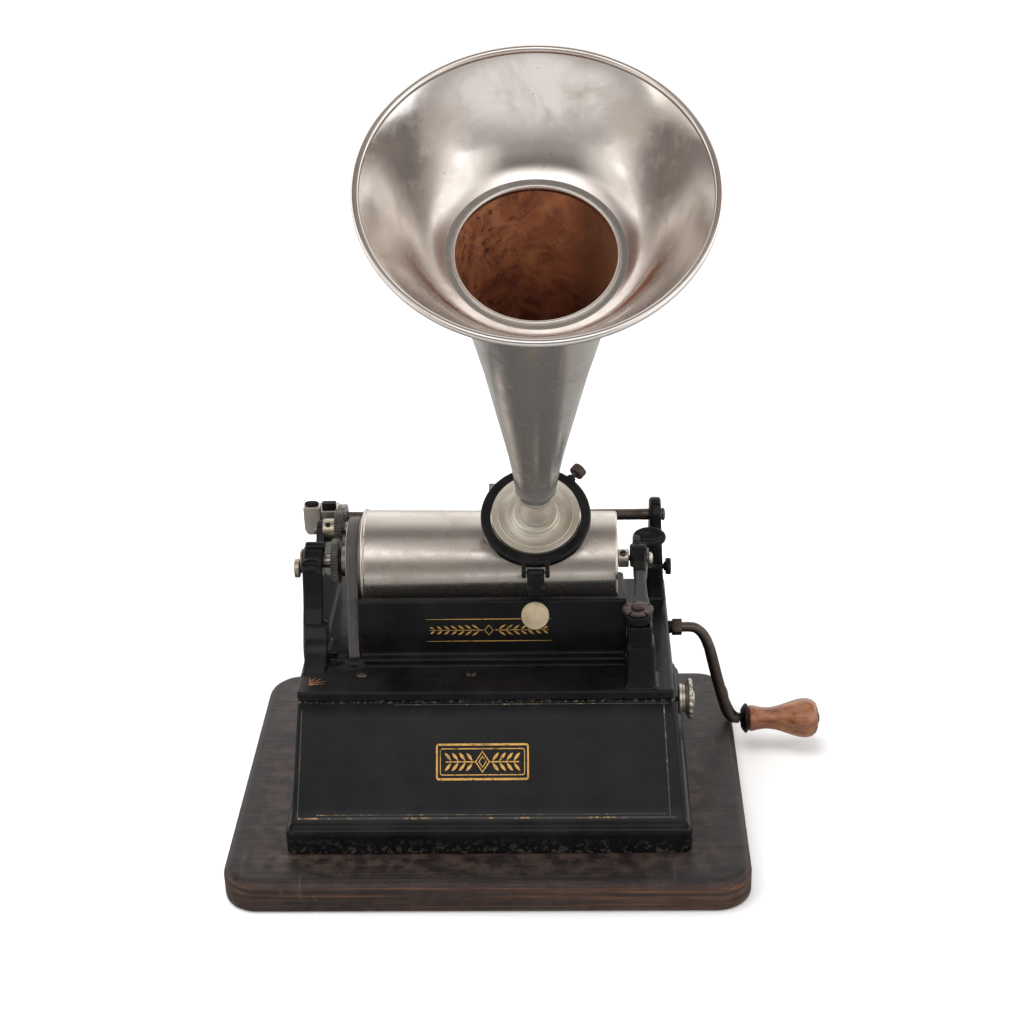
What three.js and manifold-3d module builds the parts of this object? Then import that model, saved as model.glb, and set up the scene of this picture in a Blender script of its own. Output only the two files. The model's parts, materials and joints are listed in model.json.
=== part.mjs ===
// Wind-up cylinder phonograph: oak baseboard, japanned iron case with a spring
// motor inside, belt-driven mandrel, geared feed screw, carriage with
// reproducer, and a nickelled horn.  Millimetres, +Z up, +X to the crank side
// (right), +Y to the rear.  Origin: centre of the baseboard's underside.
import * as THREE from 'three';
import { mergeVertices } from 'three/addons/utils/BufferGeometryUtils.js';
import Module from 'manifold-3d';

const wasm = await Module();
wasm.setup();

// ------------------------------------------------------------ dimensions ---
const DEGREE = Math.PI / 180;
const ORIGIN = { x: 0, y: 0, z: 0 };
const distance = (from, to) => Math.hypot(to.y - from.y, to.z - from.z);
const heading = (from, to) => Math.atan2(to.z - from.z, to.y - from.y);

// Shafts along X, each placed by its (y, z)
const MANDREL_AXIS = { y: 27, z: 110.9 };
const FEED_AXIS = { y: 61, z: 115.9 };
const CRANK_AXIS = { y: 40, z: 67 };
const SPRING_AXIS = { y: 23.06, z: 42 };
const ARBOR_AXIS = { y: -2.91, z: 47 };          // motor pulley arbor
const GOVERNOR_AXIS = { y: -21.01, z: 38 };
const BRAKE_AXIS = { y: -10, z: 59 };
const CLICK_AXIS = { y: SPRING_AXIS.y + 21, z: SPRING_AXIS.z + 5 };

const BOARD = { width: 228.6, depth: 172, height: 15, corner: 16 };
const BASE_SCREWS = [-52, 60].flatMap((y) => [-76, 76].map((x) => ({ x, y })));
const FOOT = { x0: -87.6, x1: 89.2, y0: -65, y1: 72, z1: 28, corner: 4.5 };
const CASE = {
  leftLow: -85, rightLow: 86.6, leftTop: -82.8, rightTop: 82.2,
  frontLow: -61.5, frontTop: -30.5, rear: 72, z0: 27, z1: 71.7, wall: 4, frontWall: 4.6,
};
const BED = { x0: -83.2, x1: 82.1, y0: -30.5, y1: 72, z0: 72, ledge: 76, top: 80 };
const APRON = { x0: -56.7, x1: 62, y0: -4.5, y1: -1, top: 107 };

const MANDREL = { x0: -56, x1: 58.6, leftRadius: 23.07, rightRadius: 21.5, wall: 1.6 };
const SHAFT_RADIUS = 3;
const SHAFT_BORE = 3.3;
const RUNNING_BORE = 3.35;
const FEED_RADIUS = 2.65;

const TRAIN = { module: 0.395, x0: -71, x1: -67.5, clearance: 0.2 };
const TEETH = { mandrel: 50, idler: 48, feed: 30 };
const TOOTH_PLAY = 0.05;
const PRESSURE_ANGLE = 20 * DEGREE;

const PULLEY = { x0: -62.9, x1: -56.6, radius: 18.5, flange: 19.9 };
const MOTOR_PULLEY = { radius: 12, flange: 14.2 };
const BELT = { x0: -62.2, x1: -57.6, thickness: 1.3, gap: 0.3, slotRear: 38 };

const CRANK_RADIUS = 51.1;
const GATE = { x: 66.5, y: -22, z0: 106.3, z1: 111.3, radius: 6.2 };  // swing arm pivot

const REPRODUCER = { x: 22.8, y: 2.3, z: 144.9 };
const CARRIAGE_TILT = 34.9 * DEGREE;
const RING = { inner: 19.6, outer: 24, z0: -2.2, z1: 2, chamfer: 0.6 };
const HORN_YAW = 1.66 * DEGREE;                  // sideways lean

// The idler centre lies where its two centre-distance circles cross, above the
// line from mandrel to feed screw.
function idlerCentre() {
  const span = distance(MANDREL_AXIS, FEED_AXIS);
  const toMandrel = TRAIN.module * (TEETH.mandrel + TEETH.idler) / 2 + TRAIN.clearance;
  const toFeed = TRAIN.module * (TEETH.idler + TEETH.feed) / 2 + TRAIN.clearance;
  const along = (toMandrel ** 2 - toFeed ** 2 + span ** 2) / (2 * span);
  const across = Math.sqrt(toMandrel ** 2 - along ** 2);
  const unitY = (FEED_AXIS.y - MANDREL_AXIS.y) / span;
  const unitZ = (FEED_AXIS.z - MANDREL_AXIS.z) / span;
  return {
    y: MANDREL_AXIS.y + unitY * along - unitZ * across,
    z: MANDREL_AXIS.z + unitZ * along + unitY * across,
  };
}
const IDLER_AXIS = idlerCentre();

// ------------------------------------------------------------- materials ---
const finish = (settings) => () => new THREE.MeshStandardMaterial(settings);
const OAK = finish({ color: 0x3a2a22, roughness: 0.55, metalness: 0 });
const JAPAN = finish({ color: 0x141416, roughness: 0.3, metalness: 0.1 });
const NICKEL = finish({ color: 0xc9c5bb, roughness: 0.25, metalness: 1 });
const STEEL = finish({ color: 0x6d6459, roughness: 0.4, metalness: 1 });
const DARK = finish({ color: 0x3b2f28, roughness: 0.5, metalness: 0.8 });
const BRASS = finish({ color: 0xa98545, roughness: 0.35, metalness: 1 });
const LEATHER = finish({ color: 0x2d211a, roughness: 0.7, metalness: 0 });
const MAHOGANY = finish({ color: 0x6b3218, roughness: 0.35, metalness: 0 });
const IRON = finish({ color: 0x45464a, roughness: 0.5, metalness: 0.9 });
const MICA = finish({ color: 0xd8d2c0, roughness: 0.3, metalness: 0 });
const RUBBER = finish({ color: 0x2a2624, roughness: 0.8, metalness: 0 });

// ------------------------------------------------- solids and transforms ---
const shift = (x, y, z) => new THREE.Matrix4().makeTranslation(x, y, z);
const rotX = (angle) => new THREE.Matrix4().makeRotationX(angle);
const rotZ = (angle) => new THREE.Matrix4().makeRotationZ(angle);

// Moves a fresh geometry, welds it and makes a manifold solid of it.
function solid(geo, matrix = new THREE.Matrix4()) {
  geo.applyMatrix4(matrix);
  for (const key of Object.keys(geo.attributes)) {
    if (key !== 'position') geo.deleteAttribute(key);
  }
  const welded = mergeVertices(geo, 1e-4);
  const corners = welded.index.array;
  const triangles = [];
  for (let i = 0; i < corners.length; i += 3) {
    const [a, b, c] = corners.slice(i, i + 3);
    if (a !== b && b !== c && a !== c) triangles.push(a, b, c);
  }
  return new wasm.Manifold(new wasm.Mesh({
    numProp: 3,
    vertProperties: new Float32Array(welded.attributes.position.array),
    triVerts: new Uint32Array(triangles),
  }));
}

function geometry(shape) {
  const { vertProperties, numProp, triVerts } = shape.getMesh();
  const count = vertProperties.length / numProp;
  const positions = new Float32Array(count * 3);
  for (let i = 0; i < count; i++) {
    for (let k = 0; k < 3; k++) positions[3 * i + k] = vertProperties[i * numProp + k];
  }
  const geo = new THREE.BufferGeometry();
  geo.setAttribute('position', new THREE.BufferAttribute(positions, 3));
  geo.setIndex(new THREE.BufferAttribute(new Uint32Array(triVerts), 1));
  geo.computeVertexNormals();
  return geo;
}

const moved = (shape, matrix) => solid(geometry(shape), matrix);
const add = (...shapes) => shapes.reduce((a, b) => a.add(b));
const cut = (shape, ...tools) => tools.reduce((a, b) => a.subtract(b), shape);

// ------------------------------------------------------------ primitives ---
const box = (x0, x1, y0, y1, z0, z1) => solid(
  new THREE.BoxGeometry(x1 - x0, y1 - y0, z1 - z0),
  shift((x0 + x1) / 2, (y0 + y1) / 2, (z0 + z1) / 2),
);

// Round parts get 0.7 of their nominal number of sides, but at least 8.
const facets = (nominal) => Math.max(8, Math.round(nominal * 0.7));
function cylinder(radius, length, sides, endRadius, matrix) {
  const count = sides <= 4 ? sides : facets(sides);
  return solid(new THREE.CylinderGeometry(endRadius, radius, length, count), matrix);
}
const cylX = (radius, x0, x1, { y, z }, sides, endRadius = radius) => cylinder(
  radius, x1 - x0, sides, endRadius, shift((x0 + x1) / 2, y, z).multiply(rotZ(-Math.PI / 2)));
const cylY = (radius, y0, y1, { x, z }, sides) => cylinder(
  radius, y1 - y0, sides, radius, shift(x, (y0 + y1) / 2, z));
const cylZ = (radius, z0, z1, { x, y }, sides, endRadius = radius) => cylinder(
  radius, z1 - z0, sides, endRadius, shift(x, y, (z0 + z1) / 2).multiply(rotX(Math.PI / 2)));

// Revolves a profile of [radius, height].  One that starts off the axis is
// closed; a profile that comes out inside out is run the other way.
function revolve(profile, sides, matrix) {
  const points = profile.map(([r, h]) => new THREE.Vector2(r, h));
  if (profile[0][0] > 0) points.push(points[0].clone());
  const build = () => solid(new THREE.LatheGeometry(points, facets(sides)), matrix);
  const shape = build();
  if (shape.volume() > 0) return shape;
  points.reverse();
  return build();
}
const latheZ = (profile, sides) => revolve(profile, sides, rotX(Math.PI / 2));
const latheX = (profile, sides, { y, z }) =>
  revolve(profile, sides, shift(0, y, z).multiply(rotZ(-Math.PI / 2)));

function arc(x, y, radius, start, sweep, steps) {
  return Array.from({ length: steps + 1 }, (_, i) => {
    const angle = start + sweep * i / steps;
    return [x + radius * Math.cos(angle), y + radius * Math.sin(angle)];
  });
}
const ellipse = (radiusX, radiusY, sides, x = 0, y = 0) =>
  Array.from({ length: sides }, (_, i) => {
    const angle = 2 * Math.PI * i / sides;
    return [x + radiusX * Math.cos(angle), y + radiusY * Math.sin(angle)];
  });

const shapeOf = (outline) => new THREE.Shape(outline.map(([a, b]) => new THREE.Vector2(a, b)));
const extrude = (outline, depth) =>
  new THREE.ExtrudeGeometry(shapeOf(outline), { depth, bevelEnabled: false, steps: 1 });
// Outline in (x, y), extruded along Z
const prismZ = (outline, z0, z1) => solid(extrude(outline, z1 - z0), shift(0, 0, z0));
// Outline in (y, z) about the given axis, extruded along X
const YZ_PLANE = new THREE.Matrix4().set(0, 0, 1, 0, 1, 0, 0, 0, 0, 1, 0, 0, 0, 0, 0, 1);
const prismX = (outline, x0, x1, { y, z } = ORIGIN) =>
  solid(extrude(outline, x1 - x0), shift(x0, y, z).multiply(YZ_PLANE));
// Outline in (x, z), extruded along Y
const XZ_PLANE = new THREE.Matrix4().set(1, 0, 0, 0, 0, 0, -1, 0, 0, 1, 0, 0, 0, 0, 0, 1);
const prismY = (outline, y0, y1) =>
  solid(extrude(outline, y1 - y0), shift(0, y1, 0).multiply(XZ_PLANE));

// Block with rounded upright corners and bevelled top and bottom edges
function slab(x0, x1, y0, y1, z0, z1, { corner, bevel, steps }) {
  const radius = Math.max(corner - bevel, 0.5);
  const inset = bevel + radius;
  const quarter = Math.PI / 2;
  const outline = [
    [x1 - inset, y1 - inset], [x0 + inset, y1 - inset],
    [x0 + inset, y0 + inset], [x1 - inset, y0 + inset],
  ].flatMap(([x, y], i) => arc(x, y, radius, i * quarter, quarter, steps));
  return solid(new THREE.ExtrudeGeometry(shapeOf(outline), {
    depth: z1 - z0 - 2 * bevel, steps: 1,
    bevelEnabled: true, bevelThickness: bevel, bevelSize: bevel, bevelSegments: 1,
  }), shift(0, 0, z0 + bevel));
}

// Spur gear with straight-flanked teeth inside the involute
function gear(teeth, module, x0, x1, axis, phase = 0) {
  const involute = (angle) => Math.tan(angle) - angle;
  const pitch = module * teeth / 2;
  const base = pitch * Math.cos(PRESSURE_ANGLE);
  const tip = pitch + 0.8 * module;
  const root = pitch - 1.12 * module;
  const halfAngle = (radius) => Math.PI / (2 * teeth) - TOOTH_PLAY / pitch
    + involute(PRESSURE_ANGLE) - involute(Math.acos(Math.min(1, base / Math.max(radius, base))));
  const halfRoot = halfAngle(root);
  const halfTip = Math.max(halfAngle(tip), 0.12 * Math.PI / teeth);
  const outline = [];
  for (let i = 0; i < teeth; i++) {
    const middle = phase + 2 * Math.PI * i / teeth;
    for (const [radius, angle] of [
      [root, middle - halfRoot], [tip, middle - halfTip],
      [tip, middle + halfTip], [root, middle + halfRoot],
    ]) outline.push([radius * Math.cos(angle), radius * Math.sin(angle)]);
  }
  return prismX(outline, x0, x1, axis);
}
// Phase that puts a gap of the driven gear at the driver's tooth on the centre line
const meshPhase = (driverTeeth, driverPhase, drivenTeeth, direction) =>
  direction + Math.PI + (driverTeeth * (direction - driverPhase) - Math.PI) / drivenTeeth;

// -------------------------------------------------------------- assembly ---
const model = new THREE.Group();

function addMesh(name, shape, material, parent = model) {
  const mesh = new THREE.Mesh(geometry(shape), material());
  mesh.name = name;
  parent.add(mesh);
  return mesh;
}
// Adds a piece whose own origin is the given point
function addPart(name, shape, material, { x = 0, y, z }) {
  addMesh(name, moved(shape, shift(-x, -y, -z)), material).position.set(x, y, z);
}

// ------------------------------------------------------------- baseboard ---
let board = slab(-BOARD.width / 2, BOARD.width / 2, -BOARD.depth / 2, BOARD.depth / 2,
  0, BOARD.height, { corner: BOARD.corner, bevel: 3.2, steps: 4 });
for (const at of BASE_SCREWS) {
  board = cut(board, cylZ(2.2, -1, BOARD.height + 1, at, 12), cylZ(4.8, -1, 5, at, 14));
}
addMesh('baseboard', board, OAK);

BASE_SCREWS.forEach((at, i) => {
  const screw = add(cylZ(4.2, 1.2, 4.4, at, 14), cylZ(1.7, 4, 25.5, at, 12));
  addPart(`base_screw_${i + 1}`, screw, STEEL, { ...at, z: 1.2 });
});

// ------------------------------------------------------------------ case ---
function caseShape() {
  const { leftLow, rightLow, leftTop, rightTop, frontLow, frontTop, rear, z0, z1, wall } = CASE;
  const below = 10;
  const above = 73;
  const frontIn = frontLow + CASE.frontWall;
  const outside = prismX([[frontLow, z0], [frontTop, z1], [rear, z1], [rear, z0]], -90, 90)
    .intersect(prismY([[leftLow, z0], [rightLow, z0], [rightTop, z1], [leftTop, z1]], -70, 80));
  const inside = prismX([
    [frontIn, below], [frontIn, z0], [frontTop + CASE.frontWall, above],
    [rear - wall, above], [rear - wall, below],
  ], -90, 90).intersect(prismY([
    [leftLow + wall, below], [rightLow - wall, below], [rightLow - wall, z0],
    [rightTop - wall, above], [leftTop + wall, above], [leftLow + wall, z0],
  ], -70, 80));
  const foot = cut(
    slab(FOOT.x0, FOOT.x1, FOOT.y0, FOOT.y1, BOARD.height - 3, FOOT.z1,
      { corner: FOOT.corner, bevel: 2.2, steps: 3 }),
    box(-100, 100, -80, 90, 5, BOARD.height),
  );
  const bosses = BASE_SCREWS.map(({ x, y }) =>
    cylZ(6.6, BOARD.height, z0, { x: x + Math.sign(x), y }, 12));
  return cut(
    add(cut(add(outside, foot), inside), ...bosses),
    ...BASE_SCREWS.map((at) => cylZ(2.1, 10, 26.2, at, 12)),
    cylX(3.5, 70, 95, CRANK_AXIS, 20),
    cylX(2.6, 70, 95, BRAKE_AXIS, 16),
  );
}
addMesh('case_casting', caseShape(), JAPAN);

// -------------------------------------------------------------- bedplate ---
const LEDGE_SCREWS = [
  { name: 'ledge_screw_left', x: -55.4, y: -16.0, slotAngle: 0.5 },
  { name: 'ledge_screw_right', x: -6.8, y: -15.8, slotAngle: 1.5 },
];
const POST_SCREW_AXIS = { y: 56.6, z: 90.5 };
const BED_JOIN = 75.5;                           // features start inside the ledge

// Outlines in (y, z)
const APRON_OUTLINE = [
  [APRON.y0 - 1.6, BED_JOIN], [APRON.y0, 78], [APRON.y0, APRON.top - 0.8],
  [APRON.y0 + 0.8, APRON.top], [APRON.y1, APRON.top], [APRON.y1, BED_JOIN],
];
const STEP_OUTLINE = [[-8.6, BED_JOIN], [-8.6, 78.9], [-7.9, 79.7], [0, 79.7], [0, BED_JOIN]];
const STANDARD_FOOT = [
  [0, BED_JOIN], [0, 88], [-1.4, 85.6], [-3.4, 82.4], [-7.6, 79.2], [-15.6, 76.4],
  [-15.6, BED_JOIN],
];
const STANDARD_WEB = [
  [-3, BED_JOIN], [-1.5, 82], [5, 94], [10.5, 103], [12.6, 110.8], [13.5, 113.2], [19.5, 116],
  [24, 118], [30, 118], [34.5, 113], [38, 108], [44, 105], [69, 98], [70.5, 80],
  [70.5, BED_JOIN],
];
const STANDARD_RIB = [
  [30, 90], [31, 108], [38.5, 116.5], [41.5, 120.8], [45.4, 122.2], [49.3, 120.8], [51.4, 117],
  [52.2, 111.3], [67.5, 111.3], [69, 98], [69, 90],
];
const REAR_POST_SIDE = [
  [51, BED_JOIN], [51.4, 81], [52.2, 94], [53.2, 108], [53.4, 118.5], [56.5, 123], [61, 124.8],
  [65.5, 123], [68.6, 118.5], [69.2, 100], [70.2, 81], [70.2, BED_JOIN],
];
// Outline in (x, z)
const REAR_POST_FRONT = [
  [72.4, 75], [81.2, 75], [80.6, 93], [79.6, 110], [79.5, 126], [74.4, 126], [74.3, 112],
  [72.7, 96],
];
// Outlines in (x, y)
const GATE_POST_LOWER = [
  [61.6, -27.1], [62.8, -28.3], [72.6, -28.3], [73.9, -27.1],
  [73.9, -16.2], [72.6, -15], [62.8, -15], [61.6, -16.2],
];
const GATE_POST_UPPER = [
  [61.9, -26.5], [62.8, -27.4], [71.8, -27.4], [72.7, -26.5],
  [72.7, -17.4], [71.8, -16.5], [62.8, -16.5], [61.9, -17.4],
];

function bedplateShape() {
  const plate = cut(
    slab(BED.x0, BED.x1, BED.y0, BED.y1, BED.z0 - 3, BED.ledge,
      { corner: 3, bevel: 1.1, steps: 3 }),
    box(-100, 100, -80, 90, 60, BED.z0),
  );
  // Oval recess in the sloping edge of the left standard
  const recess = moved(prismZ(ellipse(3.6, 2.3, 14), -0.9, 3),
    shift(-79.4, 16.5, 114.6).multiply(rotX(0.437)));
  const body = add(
    plate,
    box(BED.x0 + 1, APRON.x1 + 0.4, APRON.y1 - 0.5, BED.y1 - 0.6, BED.ledge - 1, BED.top),
    prismX(APRON_OUTLINE, APRON.x0, APRON.x1),
    // raised step in front of the apron, carrying the front lip of the belt slot
    prismX(STEP_OUTLINE, -67.5, 62.4),
    // left standard with its flared foot
    prismX(STANDARD_FOOT, -82, -72),
    prismX(STANDARD_WEB, -83.3, -74.3),
    prismX(STANDARD_RIB, -79.7, -75.2),
    cylX(7.3, -84, -74.2, MANDREL_AXIS, 24),
    cylX(2.4, -82.8, -74, { y: 26.4, z: 118.4 }, 16),
  );
  return cut(
    add(
      cut(body, recess),
      cylX(4.6, -79.7, -77.2, IDLER_AXIS, 16),
      prismX(REAR_POST_SIDE, 72, 82).intersect(prismY(REAR_POST_FRONT, 45, 75)),
      prismZ(GATE_POST_LOWER, BED_JOIN, 96.8),
      prismZ(GATE_POST_UPPER, 96, GATE.z0 - 0.4),
    ),
    // belt slot
    prismX([[-5.9, 82], [BELT.slotRear, 82], [BELT.slotRear, 60], [-13.8, 60]],
      BELT.x0 - 0.8, BELT.x1 + 0.7),
    // pocket over the crank pinion
    box(23.5, 33.5, CRANK_AXIS.y - 11, CRANK_AXIS.y + 11, 70, 77.2),
    // bores
    cylX(5.8, -77.15, -70, IDLER_AXIS, 20),
    cylX(RUNNING_BORE, -90, -70, MANDREL_AXIS, 24),
    cylX(2.3, -90, -70, IDLER_AXIS, 16),
    cylX(3.05, 70, 85, FEED_AXIS, 24),
    cylZ(2, 98, 110, GATE, 14),
    ...LEDGE_SCREWS.map((at) => cylZ(1.7, 60, 80, at, 10)),
    cylX(1.6, 70, 85, POST_SCREW_AXIS, 12),
  );
}
addMesh('bedplate', bedplateShape(), JAPAN);

for (const { name, x, y, slotAngle } of LEDGE_SCREWS) {
  const at = { x, y };
  const screw = add(
    cylZ(2.5, BED.ledge + 0.05, BED.ledge + 0.9, at, 14),
    cylZ(2.5, BED.ledge + 0.9, BED.ledge + 1.9, at, 14, 1.5),
    cylZ(1.35, 70, BED.ledge + 0.2, at, 10),
  );
  const slot = moved(box(-3, 3, -0.35, 0.35, 0, 2),
    shift(x, y, BED.ledge + 1.2).multiply(rotZ(slotAngle)));
  addPart(name, cut(screw, slot), DARK, { x, y, z: BED.ledge });
}

// --------------------------------------------------------------- mandrel ---
function mandrelShape() {
  const { x0, x1, leftRadius, rightRadius, wall } = MANDREL;
  return latheX([
    [RUNNING_BORE, x0], [leftRadius + 0.7, x0], [leftRadius + 0.7, x0 + 1.4],
    [leftRadius, x0 + 1.8], [rightRadius, x1 - 1], [rightRadius - 0.9, x1],
    [RUNNING_BORE, x1], [RUNNING_BORE, x1 - 2.4], [rightRadius - wall, x1 - 2.4],
    [leftRadius - wall, x0 + 3], [RUNNING_BORE, x0 + 3],
  ], 40, MANDREL_AXIS);
}
addPart('mandrel', mandrelShape(), NICKEL, MANDREL_AXIS);
addPart('mandrel_shaft', cylX(SHAFT_RADIUS, -83.2, 62, MANDREL_AXIS, 20), STEEL, MANDREL_AXIS);

function mandrelPulleyShape() {
  const { x0, x1, radius, flange } = PULLEY;
  const wheel = latheX([
    [SHAFT_BORE, x0], [flange, x0], [flange, x0 + 0.5], [radius, x0 + 0.55],
    [radius, -57.3], [flange, -57.25], [flange, x1], [SHAFT_BORE, x1],
  ], 32, MANDREL_AXIS);
  const hub = cut(cylX(7, -66.9, x0 + 0.4, MANDREL_AXIS, 18),
    cylX(SHAFT_BORE, -70, -50, MANDREL_AXIS, 20));
  const { y, z } = MANDREL_AXIS;
  return cut(add(wheel, hub), cylZ(1, z + 5.5, z + 9, { x: -64.9, y }, 10));
}
addPart('mandrel_pulley', mandrelPulleyShape(), IRON, { x: PULLEY.x0, ...MANDREL_AXIS });

addPart('mandrel_gear', cut(
  gear(TEETH.mandrel, TRAIN.module, TRAIN.x0, TRAIN.x1, MANDREL_AXIS),
  cylX(SHAFT_BORE, -80, -60, MANDREL_AXIS, 20),
), BRASS, { x: TRAIN.x0, ...MANDREL_AXIS });

const SET_SCREW = { x: 61.2, z: MANDREL_AXIS.z };
addPart('mandrel_collar', cut(
  cylX(4.1, 58.95, 63.8, MANDREL_AXIS, 20),
  cylX(SHAFT_BORE, 50, 70, MANDREL_AXIS, 20),
  cylY(1, MANDREL_AXIS.y - 6, MANDREL_AXIS.y, SET_SCREW, 10),
), NICKEL, { x: 61, ...MANDREL_AXIS });
addPart('collar_set_screw',
  cylY(0.75, MANDREL_AXIS.y - 5.6, MANDREL_AXIS.y - 3.3, SET_SCREW, 10),
  DARK, { ...SET_SCREW, y: MANDREL_AXIS.y - 5 });

addPart('end_screw', cut(
  add(cylX(5.6, -85.5, -84.3, MANDREL_AXIS, 18),
    cylX(4.3, -88.1, -85.4, { y: 22.4, z: 109.8 }, 16)),
  box(-89, -87.3, 15, 30, 109.4, 110.2),
), NICKEL, { x: -87, ...MANDREL_AXIS });

// ------------------------------------------------------------ drive belt ---
// Outer tangents join the arcs round the mandrel pulley and the motor pulley.
function beltLoop(offset) {
  const large = PULLEY.radius + BELT.gap + offset;
  const small = MOTOR_PULLEY.radius + BELT.gap + offset;
  const direction = heading(ARBOR_AXIS, MANDREL_AXIS);
  const half = Math.acos((small - large) / distance(ARBOR_AXIS, MANDREL_AXIS));
  return [
    ...arc(MANDREL_AXIS.y, MANDREL_AXIS.z, large, direction - half, 2 * half, 16),
    ...arc(ARBOR_AXIS.y, ARBOR_AXIS.z, small, direction + half, 2 * (Math.PI - half), 12),
  ];
}
addMesh('drive_belt', cut(
  prismX(beltLoop(BELT.thickness), BELT.x0, BELT.x1),
  prismX(beltLoop(0), BELT.x0 - 1, BELT.x1 + 1),
), LEATHER);

// ------------------------------------------------------------ feed train ---
const idlerPhase = meshPhase(TEETH.mandrel, 0, TEETH.idler, heading(MANDREL_AXIS, IDLER_AXIS));
const feedPhase = meshPhase(TEETH.idler, idlerPhase, TEETH.feed, heading(IDLER_AXIS, FEED_AXIS));

addPart('idler_gear', cut(
  add(gear(TEETH.idler, TRAIN.module, TRAIN.x0, TRAIN.x1, IDLER_AXIS, idlerPhase),
    cylX(5.3, -76.8, TRAIN.x0 + 0.5, IDLER_AXIS, 22)),
  cylX(2.3, -80, -60, IDLER_AXIS, 16),
  cylZ(1, IDLER_AXIS.z + 3.5, IDLER_AXIS.z + 8, { x: -74.4, y: IDLER_AXIS.y - 0.6 }, 10),
), BRASS, { x: TRAIN.x0, ...IDLER_AXIS });
addPart('idler_stud', add(
  cylX(1.95, -81, -66, IDLER_AXIS, 14),
  cylX(3.6, -66.9, -65.2, IDLER_AXIS, 14),
), STEEL, { x: -70, ...IDLER_AXIS });
addPart('feed_gear', cut(
  gear(TEETH.feed, TRAIN.module, TRAIN.x0, TRAIN.x1, FEED_AXIS, feedPhase),
  cylX(2.95, -80, -60, FEED_AXIS, 16),
), BRASS, { x: TRAIN.x0, ...FEED_AXIS });
addPart('feed_screw', add(
  cylX(FEED_RADIUS, -86.6, 80.6, FEED_AXIS, 20),
  cylX(3, 80.2, 80.9, FEED_AXIS, 16),
  cylX(3, 80.9, 81.6, FEED_AXIS, 16, 1.8),
), STEEL, FEED_AXIS);

// Bearing block: tall left part over the end of the screw, lower part to the right
const OIL_SCREW = { x: -83.6, y: 58.8 };
const CAP_SCREW = { x: -75.5, y: 59.1 };
const TALL_BLOCK = [
  [56, 109.4], [67, 109.4], [67, 117.5], [61.4, 123.6], [56.6, 123.6], [56, 123],
];
addPart('feed_bearing_block', cut(
  add(prismX(TALL_BLOCK, -87.4, -80.1),
    box(-80.6, -79.4, 56, 61.4, 112.5, 123.6),
    box(-80.6, -71.6, 56.6, 66.6, 111.7, 121.3)),
  prismY([[-88, 109], [-84.9, 109], [-86.4, 110.4], [-88, 113.6]], 50, 70),
  cylX(3.05, -86.9, -70, FEED_AXIS, 20),
  cylZ(1.5, 119.9, 130, OIL_SCREW, 10),
  cylZ(1.3, 119.6, 130, CAP_SCREW, 10),
), NICKEL, { x: -83, ...FEED_AXIS });

// Oval slotted screw over the oil hole
addPart('block_oil_screw', cut(
  add(prismZ(ellipse(3.3, 2, 16, OIL_SCREW.x, OIL_SCREW.y), 123.9, 125.5),
    cylZ(1.2, 120.2, 124.1, OIL_SCREW, 10)),
  box(-88, -79, OIL_SCREW.y - 0.35, OIL_SCREW.y + 0.35, 124.8, 127),
), DARK, { ...OIL_SCREW, z: 124 });
// Rectangular-headed screw over the lower part
addPart('block_cap_screw', add(
  slab(-78.8, -72.2, 57.4, 60.8, 121.6, 124.9, { corner: 0.8, bevel: 0.35, steps: 2 }),
  cylZ(1, 120, 121.9, CAP_SCREW, 10),
), DARK, { ...CAP_SCREW, z: 121.6 });
addPart('post_thumbscrew', add(
  cylX(3.9, 81.8, 84.4, POST_SCREW_AXIS, 16),
  cylX(1.25, 73.6, 82, POST_SCREW_AXIS, 12),
  cylX(2.1, 81.05, 82, POST_SCREW_AXIS, 14),
), DARK, { x: 82, ...POST_SCREW_AXIS });

// ------------------------------------------------------------ swing gate ---
function swingGateShape() {
  const armOutline = [                           // (x, y)
    ...arc(GATE.x, GATE.y, GATE.radius, Math.PI, Math.PI, 12),
    [GATE.x + GATE.radius, GATE.y + 3.5], [71.6, -11], [71.6, 22.5], [71.8, 24],
    [71.8, 33], [65.2, 33], [65.2, -11], [GATE.x - GATE.radius, GATE.y + 3.5],
  ];
  const boss = { y: MANDREL_AXIS.y + 0.8, z: MANDREL_AXIS.z + 0.9 };
  // Thumb piece: small dished oval leaning towards the front
  const radiusX = 7.6;
  const radiusY = 5.2;
  const tab = cut(prismZ(ellipse(radiusX, radiusY, 20), -1.7, 1.7),
    prismZ(ellipse(radiusX * 0.7, radiusY * 0.66, 20), 0.7, 3));
  return cut(
    add(
      prismZ(armOutline, GATE.z0, GATE.z1),
      cylX(5.4, 64.2, 72.2, boss, 20),
      box(65.6, 71.6, 24, 33, 107, 115),
      moved(tab, shift(73.4, 36, 116.6).multiply(rotX(0.45))),
      box(65.6, 69.8, 29, 36, 110, 115.8),
    ),
    cylX(2, 60, 80, MANDREL_AXIS, 14),
    cylZ(2.1, 100, 115, GATE, 14),
  );
}
addPart('swing_gate', swingGateShape(), JAPAN, { ...GATE, z: GATE.z0 });

// Pivot screw on a washer with three notches in its rim
function gatePivotScrewShape() {
  const { x, y, z1 } = GATE;
  const notches = [0.6, 2.7, 4.8].map((angle) =>
    moved(box(5.6, 8, -0.9, 0.9, 100, 120), shift(x, y, 0).multiply(rotZ(angle))));
  return cut(
    add(
      cut(cylZ(6.7, z1 + 0.35, z1 + 1.5, GATE, 24), ...notches),
      cylZ(1.55, 99, z1 + 1, GATE, 12),
      cylZ(2.9, z1 + 1.45, z1 + 2.9, GATE, 14, 2.2),
    ),
    box(x - 4, x + 4, y - 0.3, y + 0.3, z1 + 2.3, z1 + 4),
  );
}
addPart('gate_pivot_screw', gatePivotScrewShape(), DARK, { ...GATE, z: GATE.z1 });

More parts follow.
